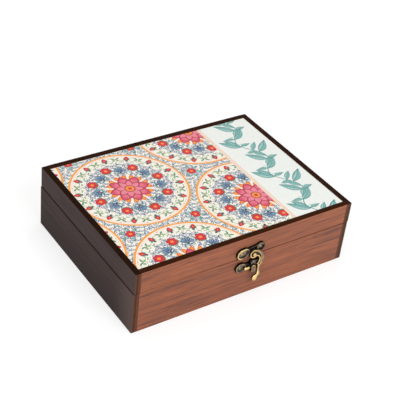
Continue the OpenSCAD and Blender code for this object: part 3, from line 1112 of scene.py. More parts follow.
        self.add(petal(foot, angle, length, width, belly, 10, bend), Ink.TEAL, Zone.VINE)
        inner(0.03, 0.92, width * 0.82, 0.0, Ink.LAGOON)
        inner(0.10, 0.70, width * 0.24, width * 0.17, Ink.MIST)
        vein([rib(share) for share in (0.0, 0.2, 0.4, 0.6, 0.8, 0.94)], 0.5)
        for share in (0.2, 0.34, 0.48, 0.62):
            for side in (-1, 1):
                lean = angle + 2 * bend * share + side * 0.8
                vein([rib(share), polar(rib(share), width * 0.44, lean)], 0.3)

    def vine(self) -> None:
        """Draws the waving vine with its leaves, tendrils and buds, beside two thin lines."""
        left, right = self.seam + 4.0, self.high[0]
        middle = (left + right) / 2
        sway, wave = 8.0, 58.0
        low, high = self.low[1], self.high[1]

        def stem(y: float) -> Point:
            """Returns the stem's middle at that height."""
            return middle + sway * math.sin(math.tau * y / wave), y

        count = 60
        path = [stem(low - 4 + (high - low + 8) * index / count) for index in range(count + 1)]
        for start in range(0, count, 4):
            self.add(ribbon(path[start:start + 5], 0.9, 1.0), Ink.TEAL, Zone.VINE)
        step = wave / 4
        for index in range(-2, int((high - low) / step) + 2):
            y = low + 5 + index * step
            side = 1 if index % 2 else -1
            lean = math.pi / 2 - side * 1.05
            tendril = curl(stem(y + 4), math.pi / 2 + side * 1.0, 17.0, side, 1.5)
            self.add(ribbon(tendril, 0.7), Ink.LAGOON, Zone.VINE)
            self.leaf(stem(y), lean, 24.0, 8.6, side * 0.22)
            self.leaf(stem(y + 5), lean + side * 0.5, 16.0, 5.6, -side * 0.16)
            self.leaf(stem(y + 1), math.pi / 2 + side * 1.25, 12.5, 4.6, side * 0.2)
        for x in (self.seam + self.border, self.seam + self.border * 2.6):
            x0, x1 = x - self.line / 2, x + self.line / 2
            self.add([(x0, low), (x1, low), (x1, high), (x0, high)], Ink.ORANGE, Zone.VINE)


def pairs(ring: Sequence) -> list[tuple]:
    """Returns each item of a ring with the one after it."""
    return list(zip(ring, [*ring[1:], ring[0]]))


def cut(outlines: list[list[Point]], loose: Sequence[Point] = (),
        nearest: float = 1e-4) -> tuple[list[Vector], list[list[int]], list[list[int]]]:
    """Cuts overlapping outlines, all turning to the left, into triangles.

    Args:
        outlines: the outlines.
        loose: points besides theirs that become corners.
        nearest: how close two points are to count as one.

    Returns:
        The points, each triangle's corners, and the outlines that cover each triangle.
    """
    points: list[Point] = []
    rings: list[list[int]] = []
    for outline in outlines:
        rings.append(list(range(len(points), len(points) + len(outline))))
        points += outline
    points += loose
    spots, _, faces, _, _, origins = delaunay_2d_cdt([Vector(p) for p in points], [], rings, 0, nearest)
    return spots, [list(face) for face in faces], origins


def outer_edges(faces: list[list[int]]) -> list[tuple[int, int]]:
    """Returns the outer edges of a patch of faces, each as its two corners."""
    edges = {edge for face in faces for edge in pairs(face)}
    return [(start, end) for start, end in sorted(edges) if (end, start) not in edges]


def renumbered(faces: list[list[int]]) -> tuple[list[int], list[list[int]]]:
    """Numbers the corners of some faces anew.

    Args:
        faces: each face's corners.

    Returns:
        The corners in use, and the faces by the places of their corners in that list.
    """
    used = sorted({corner for face in faces for corner in face})
    place = {old: new for new, old in enumerate(used)}
    return used, [[place[corner] for corner in face] for face in faces]


def painted(name: str, spots: list[Triple], faces: list[list[int]], layer: str, shades: list[Colour]) -> Mesh:
    """Makes a mesh with a layer of colours.

    Args:
        name: the mesh's name.
        spots: its points.
        faces: its faces' corners.
        layer: the name of the layer.
        shades: a colour for each corner of each face.

    Returns:
        The mesh.
    """
    mesh = bpy.data.meshes.new(name)
    mesh.from_pydata(spots, [], faces)
    paint = mesh.color_attributes.new(layer, "FLOAT_COLOR", "CORNER")
    paint.data.foreach_set("color", [value for shade in shades for value in (*shade, 1.0)])
    return mesh


def tessellate(shapes: list[Shape], seam: float, low: Point,
               high: Point) -> tuple[list[Point], list[tuple[list[int], Ink]]]:
    """Cuts overlapping shapes into one flat layer of triangles, each with its topmost ink.

    Args:
        shapes: the shapes, lowest first.
        seam: the X that parts the two zones.
        low: the sheet's low corner.
        high: the sheet's high corner.

    Returns:
        The points, and each triangle's corners with its ink.
    """
    outlines = []
    for ring in (shape.points for shape in shapes):
        area = sum(a[0] * b[1] - b[0] * a[1] for a, b in pairs(ring))
        outlines.append(ring if area > 0 else ring[::-1])
    spots, faces, origins = cut(outlines)
    layer = []
    for corners, covering in zip(faces, origins):
        x = sum(spots[corner][0] for corner in corners) / len(corners)
        y = sum(spots[corner][1] for corner in corners) / len(corners)
        if not (low[0] < x < high[0] and low[1] < y < high[1]):
            continue
        zone = Zone.MEDALLIONS if x < seam else Zone.VINE
        tops = [index for index in covering if shapes[index].zone is zone]
        if tops:
            layer.append((corners, shapes[max(tops)].ink))
    return [tuple(spot) for spot in spots], layer


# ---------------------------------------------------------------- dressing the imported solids


@dataclass(frozen=True)
class Facing:
    """A finish for the faces of a board that look one way."""

    way: Triple
    finish: Material


OUT_FRONT = (0.0, -1.0, 0.0)
OUT_BACK = (0.0, 1.0, 0.0)
OUT_LEFT = (-1.0, 0.0, 0.0)
OUT_RIGHT = (1.0, 0.0, 0.0)
UP = (0.0, 0.0, 1.0)
DOWN = (0.0, 0.0, -1.0)
SAME_CORNER = 0.001 * MM
SAME_WAY = 0.9
EDGE_ANGLE = math.radians(35)


def soften(piece: Object, width: float) -> None:
    """Joins the mesh's split corners and rounds its edges, with modifiers alone.

    Args:
        piece: the object.
        width: the rounding's size, in metres.
    """
    join = piece.modifiers.new("joined_corners", "WELD")
    join.merge_threshold = SAME_CORNER
    rounded = piece.modifiers.new("rounded_edges", "BEVEL")
    rounded.width = width
    rounded.segments = 2
    rounded.limit_method = "ANGLE"
    rounded.angle_limit = EDGE_ANGLE


def dress(node: str, finish: Material, facings: tuple[Facing, ...] = (), edge: float = 0.0) -> None:
    """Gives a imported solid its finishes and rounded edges.

    Args:
        node: the solid's name.
        finish: what most of it wears.
        facings: other finishes, by the way that a face looks.
        edge: the size of its edges' rounding, in metres.
    """
    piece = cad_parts[node]
    mesh = piece.data
    mesh.materials.clear()
    for material in (finish, *(facing.finish for facing in facings)):
        mesh.materials.append(material)
    for polygon in mesh.polygons:
        polygon.material_index = 0
        for index, facing in enumerate(facings):
            if polygon.normal.dot(Vector(facing.way)) > SAME_WAY:
                polygon.material_index = index + 1
    if edge:
        soften(piece, edge)
    LOG.info("dressed %s: %d finishes", node, len(facings) + 1)


def settle(piece: Object, body: Body, node: str = "") -> None:
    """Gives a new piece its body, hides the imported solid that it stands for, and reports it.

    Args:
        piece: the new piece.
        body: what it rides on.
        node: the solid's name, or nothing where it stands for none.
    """
    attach(piece, body.value)
    if node:
        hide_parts(node)
    LOG.info("built %s: %d faces, rides on %s", piece.name, len(piece.data.polygons), body.value)


def new_piece(name: str, mesh: Mesh, finish: Material) -> Object:
    """Puts a mesh into the scene.

    Args:
        name: the piece's name.
        mesh: its mesh.
        finish: its material.

    Returns:
        The piece's object.
    """
    piece = bpy.data.objects.new(name, mesh)
    bpy.context.scene.collection.objects.link(piece)
    mesh.materials.append(finish)
    return piece


# ---------------------------------------------------------------- the box's sub-assemblies


@dataclass
class Woodwork:
    """The finishes that the base and the lid share."""

    effects: Effects
    wall: float = 6.0 * MM
    half_width: float = 120.0 * MM
    lid_set: float = 0.6 * MM
    edge: float = 0.35 * MM
    rosewood: Material = field(init=False)
    base_side: Material = field(init=False)
    lid_side: Material = field(init=False)
    rim: Material = field(init=False)
    rim_with_painted_light: Material = field(init=False)
    rim_with_painted_shade: Material = field(init=False)
    inside_long: Material = field(init=False)
    inside_cross: Material = field(init=False)

    def __post_init__(self) -> None:
        """Mixes the laminates and boards."""
        def side(name: str, light: Colour, middle: Colour, dark: Colour, **looks: float) -> Material:
            """Mixes the dull dark laminate of a side."""
            # the worn colour is also the colour of the painted light towards a side's front
            return Laminate(name, Along.Y, light, middle, dark, srgb(98, 80, 75), rough=0.5, sheen=0.05,
                            bend=0.15, **looks).make(self.effects)

        # rosewood: painted shade towards the floor and in the seam
        self.rosewood = Laminate(
            "rosewood_laminate", Along.X, light=srgb(180, 108, 76), middle=srgb(159, 97, 71),
            dark=srgb(112, 74, 66), worn=srgb(186, 126, 98), contrast=0.88, sheen=0.14,
            shade=0.12, rubbed=0.5, lip=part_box("base_front_wall")[1].z).make(self.effects)
        # sides: painted light towards the front and painted shade towards the floor
        self.base_side = side("dark_side_laminate", srgb(74, 57, 53), srgb(63, 49, 46), srgb(46, 35, 32),
                              contrast=0.5, fade=0.75, shade=0.9)
        self.lid_side = side("dark_lid_laminate", srgb(74, 59, 57), srgb(67, 53, 51), srgb(56, 43, 41),
                             contrast=0.6, fade=0.3)
        # lit and shaded copies of the rim board: the front rim's colour holds painted light, the left rim's
        # painted shade
        self.rim, self.rim_with_painted_light, self.rim_with_painted_shade = (
            Board(name, colour).make(self.effects) for name, colour in (
                ("espresso_rim", srgb(44, 22, 11)), ("espresso_rim_painted_light", srgb(55, 26, 8)),
                ("espresso_rim_painted_shade", srgb(34, 17, 6))))
        self.inside_long, self.inside_cross = (
            Laminate(name, along, light=srgb(118, 84, 64), middle=srgb(96, 66, 50), dark=srgb(68, 46, 37),
                     worn=srgb(130, 96, 74), contrast=0.8, rough=0.6, sheen=0.1).make(self.effects)
            for name, along in (("dark_board_long", Along.X), ("dark_board_cross", Along.Y)))

    def long_wall(self, node: str, out: Triple, *edges: Facing) -> None:
        """Dresses a front or back wall: rosewood outside, board inside, and what its edges wear."""
        dress(node, self.inside_long, (Facing(out, self.rosewood), *edges), self.edge)

    def side_wall(self, node: str, side: int, shift: float, skin: Material, *edges: Facing) -> None:
        """Dresses a side wall: dark laminate outside, board inside, cut ends, and what its edges wear.

        Args:
            node: the wall's name.
            side: -1 for the left wall, 1 for the right.
            shift: how far the wall sits to the right of the box's middle.
            skin: the laminate outside.
            edges: the finishes of its top and bottom edges.
        """
        end = CutEnd(f"{node}_end", side * self.half_width + shift, self.wall).make(self.effects)
        out = OUT_RIGHT if side > 0 else OUT_LEFT
        dress(node, self.inside_cross,
              (Facing(out, skin), *edges, Facing(OUT_FRONT, end), Facing(OUT_BACK, end)), self.edge)


@dataclass
class BaseBox:
    """The open box: four walls, the bottom and the dividers."""

    woodwork: Woodwork

    def build(self) -> None:
        """Dresses the walls, the bottom and the dividers."""
        wood = self.woodwork
        top = Facing(UP, wood.rim)
        wood.long_wall("base_front_wall", OUT_FRONT, top)
        wood.long_wall("base_back_wall", OUT_BACK, top)
        wood.side_wall("base_left_wall", -1, 0.0, wood.base_side, top)
        wood.side_wall("base_right_wall", 1, 0.0, wood.base_side, top)
        dress("base_bottom", wood.inside_long)
        dress("long_divider", wood.inside_long, (top,), wood.edge)
        for node in ("cross_divider_left", "cross_divider_right"):
            dress(node, wood.inside_cross, (top,), wood.edge)


@dataclass
class LidFrame:
    """The lid's four walls and its top panel."""

    woodwork: Woodwork

    def build(self) -> None:
        """Dresses the walls and the panel."""
        wood = self.woodwork
        top, under, shift = Facing(UP, wood.rim), Facing(DOWN, wood.rim), wood.lid_set
        wood.long_wall("lid_front_wall", OUT_FRONT, Facing(UP, wood.rim_with_painted_light), under)
        wood.long_wall("lid_back_wall", OUT_BACK, top, under)
        wood.side_wall("lid_left_wall", -1, shift, wood.lid_side, Facing(UP, wood.rim_with_painted_shade), under)
        wood.side_wall("lid_right_wall", 1, shift, wood.lid_side, top, under)
        dress("lid_top", wood.inside_long, (top,))


@dataclass
class PrintedSheet:
    """The printed paper sheet set into the lid's rim."""

    node: str = "printed_sheet"

    def build(self) -> None:
        """Builds the sheet as one thin slab whose top is cut into the pattern's patches."""
        low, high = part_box(self.node)
        corner, far = (low.x / MM, low.y / MM), (high.x / MM, high.y / MM)
        pattern = Pattern(corner, far)
        points, layer = tessellate(pattern.draw(), pattern.seam, corner, far)
        used, faces = renumbered([corners for corners, _ in layer])
        spots = [(*(min(max(points[index][axis], corner[axis]), far[axis]) * MM for axis in (0, 1)), high.z)
                 for index in used]
        inks = [ink for _, ink in layer]
        above = list(range(len(spots), len(spots) + 4))
        below = [spot + 4 for spot in above]
        spots += [(x, y, z) for z in (high.z, low.z) for x, y in
                  ((low.x, low.y), (high.x, low.y), (high.x, high.y), (low.x, high.y))]
        faces += [[top, under, next_under, next_top]
                  for (top, next_top), (under, next_under) in zip(pairs(above), pairs(below))] + [below[::-1]]
        inks += [Ink.WHITE] * (len(faces) - len(inks))
        shades = [ink.value for face, ink in zip(faces, inks) for _ in face]
        mesh = painted(self.node, spots, faces, Print.layer, shades)
        piece = new_piece("lid_print", mesh, Print("printed_paper").make())
        settle(piece, Body.LID, self.node)


@dataclass
class Metalwork:
    """The finishes of the latch and the hinges."""

    effects: Effects
    front_wall: float = -90.0 * MM
    back_wall: float = 90.0 * MM
    gold: Colour = srgb(248, 210, 138)
    bronze: Colour = srgb(128, 108, 86)
    dull: Colour = srgb(124, 110, 98)
    dark: Colour = srgb(28, 24, 19)
    casting: Material = field(init=False)
    polished: Material = field(init=False)
    rivet: Material = field(init=False)
    screw: Material = field(init=False)
    hinge: Material = field(init=False)

    def __post_init__(self) -> None:
        """Mixes the metals."""
        def metal(name: str, body: Colour, rubbed: float = 1.0, raised: float = 0.0,
                  depth: float = 1.0) -> Brass:
            """Mixes one metal, rubbed that much on what is raised so many millimetres."""
            return Brass(name, self.gold, body, self.dark, rubbed, raised * MM, depth * MM)

        self.casting = metal("antique_brass", self.dull).cast(self.effects)
        self.polished = metal("rubbed_brass", self.bronze).cast(self.effects)
        self.rivet = metal("rivet_brass", self.bronze, 0.98, 6.0, 1.2).make(self.effects, self.front_wall)
        self.screw = metal("screw_brass", self.dull, 0.95, 2.2, 0.5).make(self.effects, self.front_wall)
        self.hinge = metal("hinge_brass", self.bronze, 0.5, 0.9, 0.6).make(self.effects, self.back_wall)


def curve(start: Point, *legs: tuple[Point, Point, Point, int]) -> list[Point]:
    """Traces a line of curved pieces.

    Args:
        start: where the line begins.
        legs: for each curved piece its two handles, its end and its number of steps.

    Returns:
        Its points after the start.
    """
    found = []
    for first, second, end, steps in legs:
        for t in (index / steps for index in range(1, steps + 1)):
            weights = ((1 - t) ** 3, 3 * t * (1 - t) ** 2, 3 * t ** 2 * (1 - t), t ** 3)
            pulls = tuple(zip(weights, (start, first, second, end)))
            found.append(tuple(sum(weight * pole[axis] for weight, pole in pulls) for axis in (0, 1)))
        start = end
    return found


def eased(value: float, low: float, high: float) -> float:
    """Maps a value smoothly from low..high to 0..1."""
    share = min(max((value - low) / (high - low), 0.0), 1.0)
    return share * share * (3 - 2 * share)


def crest(away: float, reach: float) -> float:
    """Returns the round profile of a bead: 1 on its middle line and 0 from its reach on."""
    return math.sqrt(1.0 - (away / reach) ** 2) if abs(away) < reach else 0.0


def dropped(inset: float, width: float, fall: float) -> float:
    """Returns how far a rounded edge has fallen at that distance inside the outline."""
    slope = 1.0 - min(inset, width) / width
    return fall * (1.0 - math.sqrt(max(1.0 - slope * slope, 0.0)))


class Track:
    """A line whose distance from any point is quick to find."""

    step: ClassVar[float] = 0.05

    def __init__(self, path: list[Point], closed: bool = False) -> None:
        """Samples the path finely.

        Args:
            path: its points.
            closed: whether the last joins the first.
        """
        samples: list[Vector] = []
        for start, end in pairs(path) if closed else pairs(path)[:-1]:
            count = max(int(math.dist(start, end) / self.step), 1)
            ends = Vector((*start, 0.0)), Vector((*end, 0.0))
            samples += [ends[0].lerp(ends[1], index / count) for index in range(count + 1)]
        self.tree = KDTree(len(samples))
        for index, sample in enumerate(samples):
            self.tree.insert(sample, index)
        self.tree.balance()

    def away(self, point: Point) -> float:
        """Returns how far a point is from the line."""
        return self.tree.find((*point, 0.0))[2]


@dataclass(frozen=True)
class Capsule:
    """A bar with round ends, or a disc where its straight half is nothing."""

    middle: Point
    radius: float
    straight: float = 0.0
    turn: float = 0.0

    def outline(self) -> list[Point]:
        """Outlines the bar.

        Returns:
            Its points.
        """
        points, steps = [], 22
        for side, start in ((1, -math.pi / 2), (-1, math.pi / 2)):
            end = polar(self.middle, side * self.straight, self.turn)
            angles = (self.turn + start + math.pi * step / steps for step in range(steps))
            points += [polar(end, self.radius, angle) for angle in angles]
        return points

    def inset(self, point: Point) -> float:
        """Measures how far inside the edge a point lies.

        Args:
            point: the point.

        Returns:
            The distance, below 0 outside.
        """
        across = Vector(point) - Vector(self.middle)
        along = Vector((math.cos(self.turn), math.sin(self.turn)))
        share = min(max(across.dot(along), -self.straight), self.straight)
        return self.radius - (across - along * share).length


def merged(outlines: list[list[Point]]) -> list[Point]:
    """Finds the outer edge of overlapping outlines.

    Args:
        outlines: the outlines.

    Returns:
        The edge's points.
    """
    spots, faces, origins = cut(outlines)
    after = dict(outer_edges([face for face, origin in zip(faces, origins) if origin]))
    first = min(after, key=lambda corner: spots[corner].x)
    ring = [first]
    while after[ring[-1]] != first:
        ring.append(after[ring[-1]])
    return [tuple(spots[corner]) for corner in ring]


@dataclass
class Relief:
    """A flat metal casting whose front is modelled in relief, in millimetres from a spot on the wall."""

    name: str
    spot: Point
    outline: list[Point] = field(default_factory=list)
    turn: float = 0.0
    wall: ClassVar[float] = -90.0
    grain: ClassVar[float] = 0.28
    row_gap: ClassVar[float] = 0.87 * grain
    margin: ClassVar[float] = 0.55 * grain
    crease: ClassVar[float] = math.radians(50)
    flank_rub: ClassVar[float] = 0.05
    layer: ClassVar[str] = "rub"

    def front(self, point: Point, inset: float) -> tuple[float, float]:
        """Models the front.

        Args:
            point: a point inside the outline.
            inset: how far inside it lies.

        Returns:
            How far out the front lies there, and how bright it is rubbed.
        """
        raise NotImplementedError

    def back(self, point: Point) -> float:
        """Returns how far out the back lies."""
        return 0.0

    def build(self, finish: Material) -> Object:
        """Builds the casting: a fine front, its sides and its back.

        Args:
            finish: its material, which reads the painted rub.

        Returns:
            The casting's object.
        """
        edge = self.outline
        rim = Track(edge, closed=True)
        xs, ys = [p[0] for p in edge], [p[1] for p in edge]
        grid = []
        for row in range(int((max(ys) - min(ys)) / self.row_gap) + 1):
            y = min(ys) + (row + 0.5) * self.row_gap
            for column in range(int((max(xs) - min(xs)) / self.grain) + 1):
                point = (min(xs) + (column + 0.5 * (row % 2)) * self.grain, y)
                if rim.away(point) > self.margin:
                    grid.append(point)
        flat, faces, origins = cut([edge], grid, 1e-5)
        used, tops = renumbered([face for face, origin in zip(faces, origins) if origin])
        fronts, backs, rubs = [], [], []
        for corner in used:
            point = tuple(flat[corner])
            out, rub = self.front(point, rim.away(point))
            fronts.append(self.lift(point, out))
            backs.append(self.lift(point, self.back(point)))
            rubs.append(rub)
        count = len(used)
        rest = [[count + corner for corner in reversed(face)] for face in tops] \
            + [[end, start, start + count, end + count] for start, end in outer_edges(tops)]
        shades = [rubs[corner] for face in tops for corner in face] \
            + [self.flank_rub for face in rest for _ in face]
        mesh = painted(self.name, fronts + backs, tops + rest, self.layer, [(shade,) * 3 for shade in shades])
        mesh.polygons.foreach_set("use_smooth", [True] * len(mesh.polygons))
        mesh.set_sharp_from_angle(angle=self.crease)
        return new_piece(self.name, mesh, finish)

    def lift(self, point: Point, out: float) -> Triple:
        """Places a point of the outline's plane in the frame.

        Args:
            point: the point.
            out: how far out from the wall it goes.

        Returns:
            Its place, in metres.
        """
        x = point[0] * math.cos(self.turn) - point[1] * math.sin(self.turn)
        z = point[0] * math.sin(self.turn) + point[1] * math.cos(self.turn)
        return (self.spot[0] + x) * MM, (self.wall - out) * MM, (self.spot[1] + z) * MM


@dataclass
class SwingArm(Relief):
    """The latch's arm: a ringed eye, a hook with a bright inner bead and a dull flange, and a drop tail."""

    name: str = "latch_arm_relief"
    spot: Point = (4.2, 49.1)
    eye: float = 4.7
    thickness: float = 2.0
    hook_front: float = 5.0
    tail_front: float = 7.0
    neck: Point = (-24.2, -19.4)
    tail_top: Point = (-21.0, -15.5)
    groove: Point = (2.2, 3.1)
    groove_depth: float = 0.35
    flange_drop: float = 0.6
    # the middle of the painted highlight on the drop
    painted_glint: Point = (3.6, -27.0)

    def __post_init__(self) -> None:
        """Draws the outline about the pivot, and the lines that its beads and its flange follow."""
        first, last, steps = math.radians(-46), math.radians(-296), 36
        angles = [first + (last - first) * step / steps for step in range(steps + 1)]
        eye = [polar((0.0, 0.0), self.eye, angle) for angle in angles]
        outer = curve(eye[-1], ((7.2, 3.5), (12.6, -3.2), (13.3, -10.2), 20),
                      ((13.6, -14.4), (10.0, -15.0), (9.3, -18.0), 16))
        right = curve(outer[-1], ((8.8, -20.6), (9.1, -22.8), (9.0, -26.0), 14))
        bottom = curve(right[-1], ((8.7, -33.0), (-0.4, -33.2), (0.1, -27.6), 24))
        left = curve(bottom[-1], ((0.5, -24.4), (6.0, -25.4), (6.2, -20.4), 14))
        inside = curve(left[-1], ((6.4, -17.2), (6.4, -14.8), (4.7, -12.9), 14),
                       ((6.1, -11.6), (6.8, -10.0), (6.8, -8.0), 8), ((6.8, -5.8), (5.2, -4.2), eye[0], 8))
        self.outline = (eye + outer + right + bottom + left + inside[:-1])[::-1]
        self.inside = Track(inside + eye)
        self.outside = Track([eye[-1]] + outer + right + bottom[:14])
        self.second = Track(curve((1.7, 3.5), ((5.4, 3.0), (9.8, -2.6), (9.8, -8.4), 20),
                                  ((9.8, -11.8), (8.3, -14.0), (8.2, -18.0), 12)))

    def plane(self, point: Point) -> float:
        """Returns how far out the arm's highest plane lies at that height."""
        low, high = self.neck
        return self.tail_front + (self.hook_front - self.tail_front) * eased(point[1], low, high)

    def front(self, point: Point, inset: float) -> tuple[float, float]:
        """Models the front: beads, grooves and flange above, one crowned drop below.

        Args:
            point: a point inside the outline.
            inset: how far inside it lies.

        Returns:
            How far out the front lies there, and how bright it is rubbed; on the drop this holds painted
            highlights and painted shade.
        """
        x, y = point
        outer = self.outside.away(point)
        bead = crest(self.inside.away(point) - 0.9, 0.95)
        ridge = crest(self.second.away(point), 0.75)
        well = 1.0 - eased(math.hypot(x, y), *self.groove)
        hook = self.flange_drop * (1.0 - max(bead, 0.85 * ridge)) + self.groove_depth * well \
            + dropped(inset, 0.4, 0.2) * (1.0 - bead)
        flat = 0.12 + 0.46 * (1.0 - eased(outer, 2.2, 3.0))
        rub = max(flat * (1.0 - well), 0.92 * bead ** 1.5, 0.78 * ridge ** 1.5)

        # On the drop, light is painted into the rub: a painted highlight round the glint spot and along the rim
        # line, painted shade along its right edge and right side, and darker at its outline.
        drop = dropped(inset, 2.6, 0.85)
        painted_glint = 1.0 - eased(math.dist(point, self.painted_glint), 0.3, 3.0)
        painted_edge_shade = 0.5 * (1.0 - eased(outer, 0.0, 4.2)) * (1.0 - 0.5 * eased(-y, 27.5, 31.0))
        painted_side_shade = 0.34 * eased(x, 3.4, 6.0) * (1.0 - eased(y, -27.0, -24.6))
        rim_light = 0.2 * crest(outer - 0.9, 0.8)
        shine = 0.88 * eased(inset, -0.4, 0.5) + 0.4 * painted_glint - painted_edge_shade - painted_side_shade + rim_light

        tail = 1.0 - eased(y, *self.tail_top)
        return self.plane(point) - hook * (1.0 - tail) - drop * tail, rub * (1.0 - tail) + shine * tail

    def back(self, point: Point) -> float:
        """Returns how far out the flat back lies."""
        return self.plane(point) - self.thickness


@dataclass(frozen=True)
class Wing:
    """An end of a plate: a raised rim round a dish, and how bright each is rubbed."""

    form: Capsule
    rim: float
    dish: float


@dataclass(frozen=True)
class Stand:
    """A raised form on a plate, with its height over the wall and how bright it is rubbed."""

    form: Capsule
    height: float
    shine: float


@dataclass
class PlateRelief(Relief):
    """A latch plate: two rimmed wings joined by a sunk waist, with the raised forms that stand on it."""

    wings: tuple[Wing, Wing] = ()
    waist: float = 3.8
    stands: tuple[Stand, ...] = ()
    top: float = 2.8
    sunk: float = 0.7
    dish_depth: float = 1.3
    rim_middle: float = 1.05
    lit_from: ClassVar[Point] = (-0.8, 0.6)

    def __post_init__(self) -> None:
        """Draws the outline round the wings, the waist and what stands on them."""
        (left, _), (right, _) = (wing.form.middle for wing in self.wings)
        bar = [(left, -self.waist), (right, -self.waist), (right, self.waist), (left, self.waist)]
        self.outline = merged([bar] + [part.form.outline() for part in (*self.wings, *self.stands)])

    def front(self, point: Point, inset: float) -> tuple[float, float]:
        """Models the front: rimmed dishes, the sunk waist and what stands on them.

        Args:
            point: a point inside the outline.
            inset: how far inside it lies.

        Returns:
            How far out the front lies there, and how bright it is rubbed, with painted light on the rims' upper
            left and on the stands' tops.
        """
        plane = self.top - self.sunk
        out, rub = plane - dropped(inset, 0.5, 0.3), 0.08 + 0.24 * crest(inset - 0.5, 0.5)
        for wing in self.wings:
            depth = wing.form.inset(point)
            if depth > 0:
                share = depth / self.rim_middle
                bead = crest(depth - self.rim_middle, self.rim_middle)
                floor = (self.dish_depth - self.sunk) * eased(share, 1.3, 2.1)
                wall = crest(depth - self.rim_middle * 2.05, 0.4)
                out = plane + self.sunk * bead - floor * (1.0 - bead) + 0.12 * eased(depth, 2.6, 4.4)
                calm = wing.dish * eased(share, 1.6, 2.5)
                # painted light: each rim is painted brighter where it faces lit_from, up and to the left
                way = (Vector(point) - Vector(wing.form.middle)).normalized()
                facing = 0.45 + 0.6 * eased(way.dot(Vector(self.lit_from)), -0.6, 0.2)
                rub = max(wing.rim * facing * bead ** 1.5, calm) * (1.0 - 0.5 * wall)
        for stand in self.stands:
            depth, reach = stand.form.inset(point), stand.form.radius
            if depth > 0:
                out = max(out, stand.height - dropped(depth, 0.7, 0.6))
                # painted light: each stand is painted brighter towards its top
                lit = eased(point[1] - stand.form.middle[1], -reach, reach)
                rub = stand.shine * (0.5 + 0.35 * crest(depth - 0.6, 0.6) + 0.35 * lit)
        return out, rub


@dataclass
class Stud(Relief):
    """A bar with round ends that stands on the catch plate, crowned or with a rim round a dish."""

    form: Capsule = Capsule((0.0, 0.0), 1.0)
    top: float = 4.6
    foot: float = 2.6
    fall: float = 0.6
    shoulder: float = 0.9
    dish: float = 0.0
    shine: float = 1.0
    hollow_shine: float = 1.0

    def __post_init__(self) -> None:
        """Draws the outline."""
        self.outline = self.form.outline()

    def front(self, point: Point, inset: float) -> tuple[float, float]:
        """Models the front: a rounded edge with a dish inside it.

        Args:
            point: a point inside the outline, not used here.
            inset: how far inside it lies.

        Returns:
            How far out the front lies there, and how bright it is rubbed.
        """
        inner = eased(inset, self.shoulder, self.shoulder + 0.7)
        out = self.top - dropped(inset, self.shoulder, self.fall) - self.dish * inner
        rub = self.shine + (self.hollow_shine - self.shine) * inner
        return out, rub * eased(inset, -0.3, 0.35)

    def back(self, point: Point) -> float:
        """Returns how far out the foot lies, just inside the plate."""
        return self.foot


@dataclass
class Latch:
    """The swing latch: the lid's plate and its arm, and the catch on the base."""

    metalwork: Metalwork
    plate_spot: Point = (2.0, 52.0)
    plate_turn: float = math.radians(8.0)
    catch_spot: Point = (1.2, 34.6)

    def plate(self) -> PlateRelief:
        """Shapes the plate on the lid, whose left wing is rubbed bright round a dull dish.

        Returns:
            The plate.
        """
        long_wing = Wing(Capsule((-8.3, 0.0), 5.7, 1.5), 0.94, 0.54)
        round_wing = Wing(Capsule((10.712, 0.0), 4.788), 0.50, 0.48)
        eye_seat = Stand(Capsule((1.775, -3.178), 4.1), 2.8, 0.1)
        return PlateRelief("latch_plate_relief", self.plate_spot, turn=self.plate_turn,
                           wings=(long_wing, round_wing), waist=3.83, stands=(eye_seat,))

    def catch(self) -> PlateRelief:
        """Shapes the plate on the base, with the post's seat and the tongue inside the hook.

        Returns:
            The plate.
        """
        long_wing = Wing(Capsule((-8.3, 0.0), 5.2, 0.75), 0.62, 0.40)
        round_wing = Wing(Capsule((9.882, 0.0), 4.368), 0.45, 0.34)
        seat = Stand(Capsule((5.2, -3.7), 2.4, 2.0, math.pi / 2), 2.8, 0.2)
        tongue = Stand(Capsule((4.1, 4.7), 1.5, 1.5, math.radians(14)), 4.4, 0.42)
        return PlateRelief("catch_plate_relief", self.catch_spot,
                           wings=(long_wing, round_wing), waist=3.49, stands=(seat, tongue))

    def build(self) -> None:
        """Builds the plates, the arm, the post and the bead, and dresses the rivet and the screws."""
        metal = self.metalwork
        dress("latch_rivet", metal.rivet)
        dress("latch_screws", metal.screw)
        dress("catch_screws", metal.screw)
        post = Stud("catch_post_relief", (6.4, 30.9), form=Capsule((0.0, 0.0), 2.4, 2.0, math.pi / 2),
                    dish=0.35, shine=0.62, hollow_shine=0.44)
        bead = Stud("catch_bead_relief", (-0.4, 32.6), form=Capsule((0.0, 0.0), 1.7, 1.6), top=4.0, fall=1.3,
                    shoulder=1.7, shine=0.88, hollow_shine=0.88)
        pieces = ((self.plate(), Body.LID, "antique_brass", "latch_plate"),
                  (self.catch(), Body.BASE, "antique_brass", "catch_plate"),
                  (SwingArm(), Body.ARM, "rubbed_brass", "latch_arm"),
                  (post, Body.BASE, "rubbed_brass", "catch_post"),
                  (bead, Body.BASE, "rubbed_brass", ""))
        for relief, body, slot, node in pieces:
            finish = metal.casting if slot == "antique_brass" else metal.polished
            settle(relief.build(finish), body, node)


@dataclass
class Hinges:
    """The two butt hinges on the back."""

    metalwork: Metalwork
    sides: tuple[str, str] = ("left", "right")

    def build(self) -> None:
        """Dresses the leaves, the pins and the screws."""
        for side in self.sides:
            for part in ("base_leaf", "lid_leaf", "pin"):
                dress(f"hinge_{part}_{side}", self.metalwork.hinge, edge=0.15 * MM)
        for node in ("hinge_base_screws", "hinge_lid_screws"):
            dress(node, self.metalwork.hinge)


# ---------------------------------------------------------------- the studio


WHITE_LIGHT = (1.0, 1.0, 1.0)


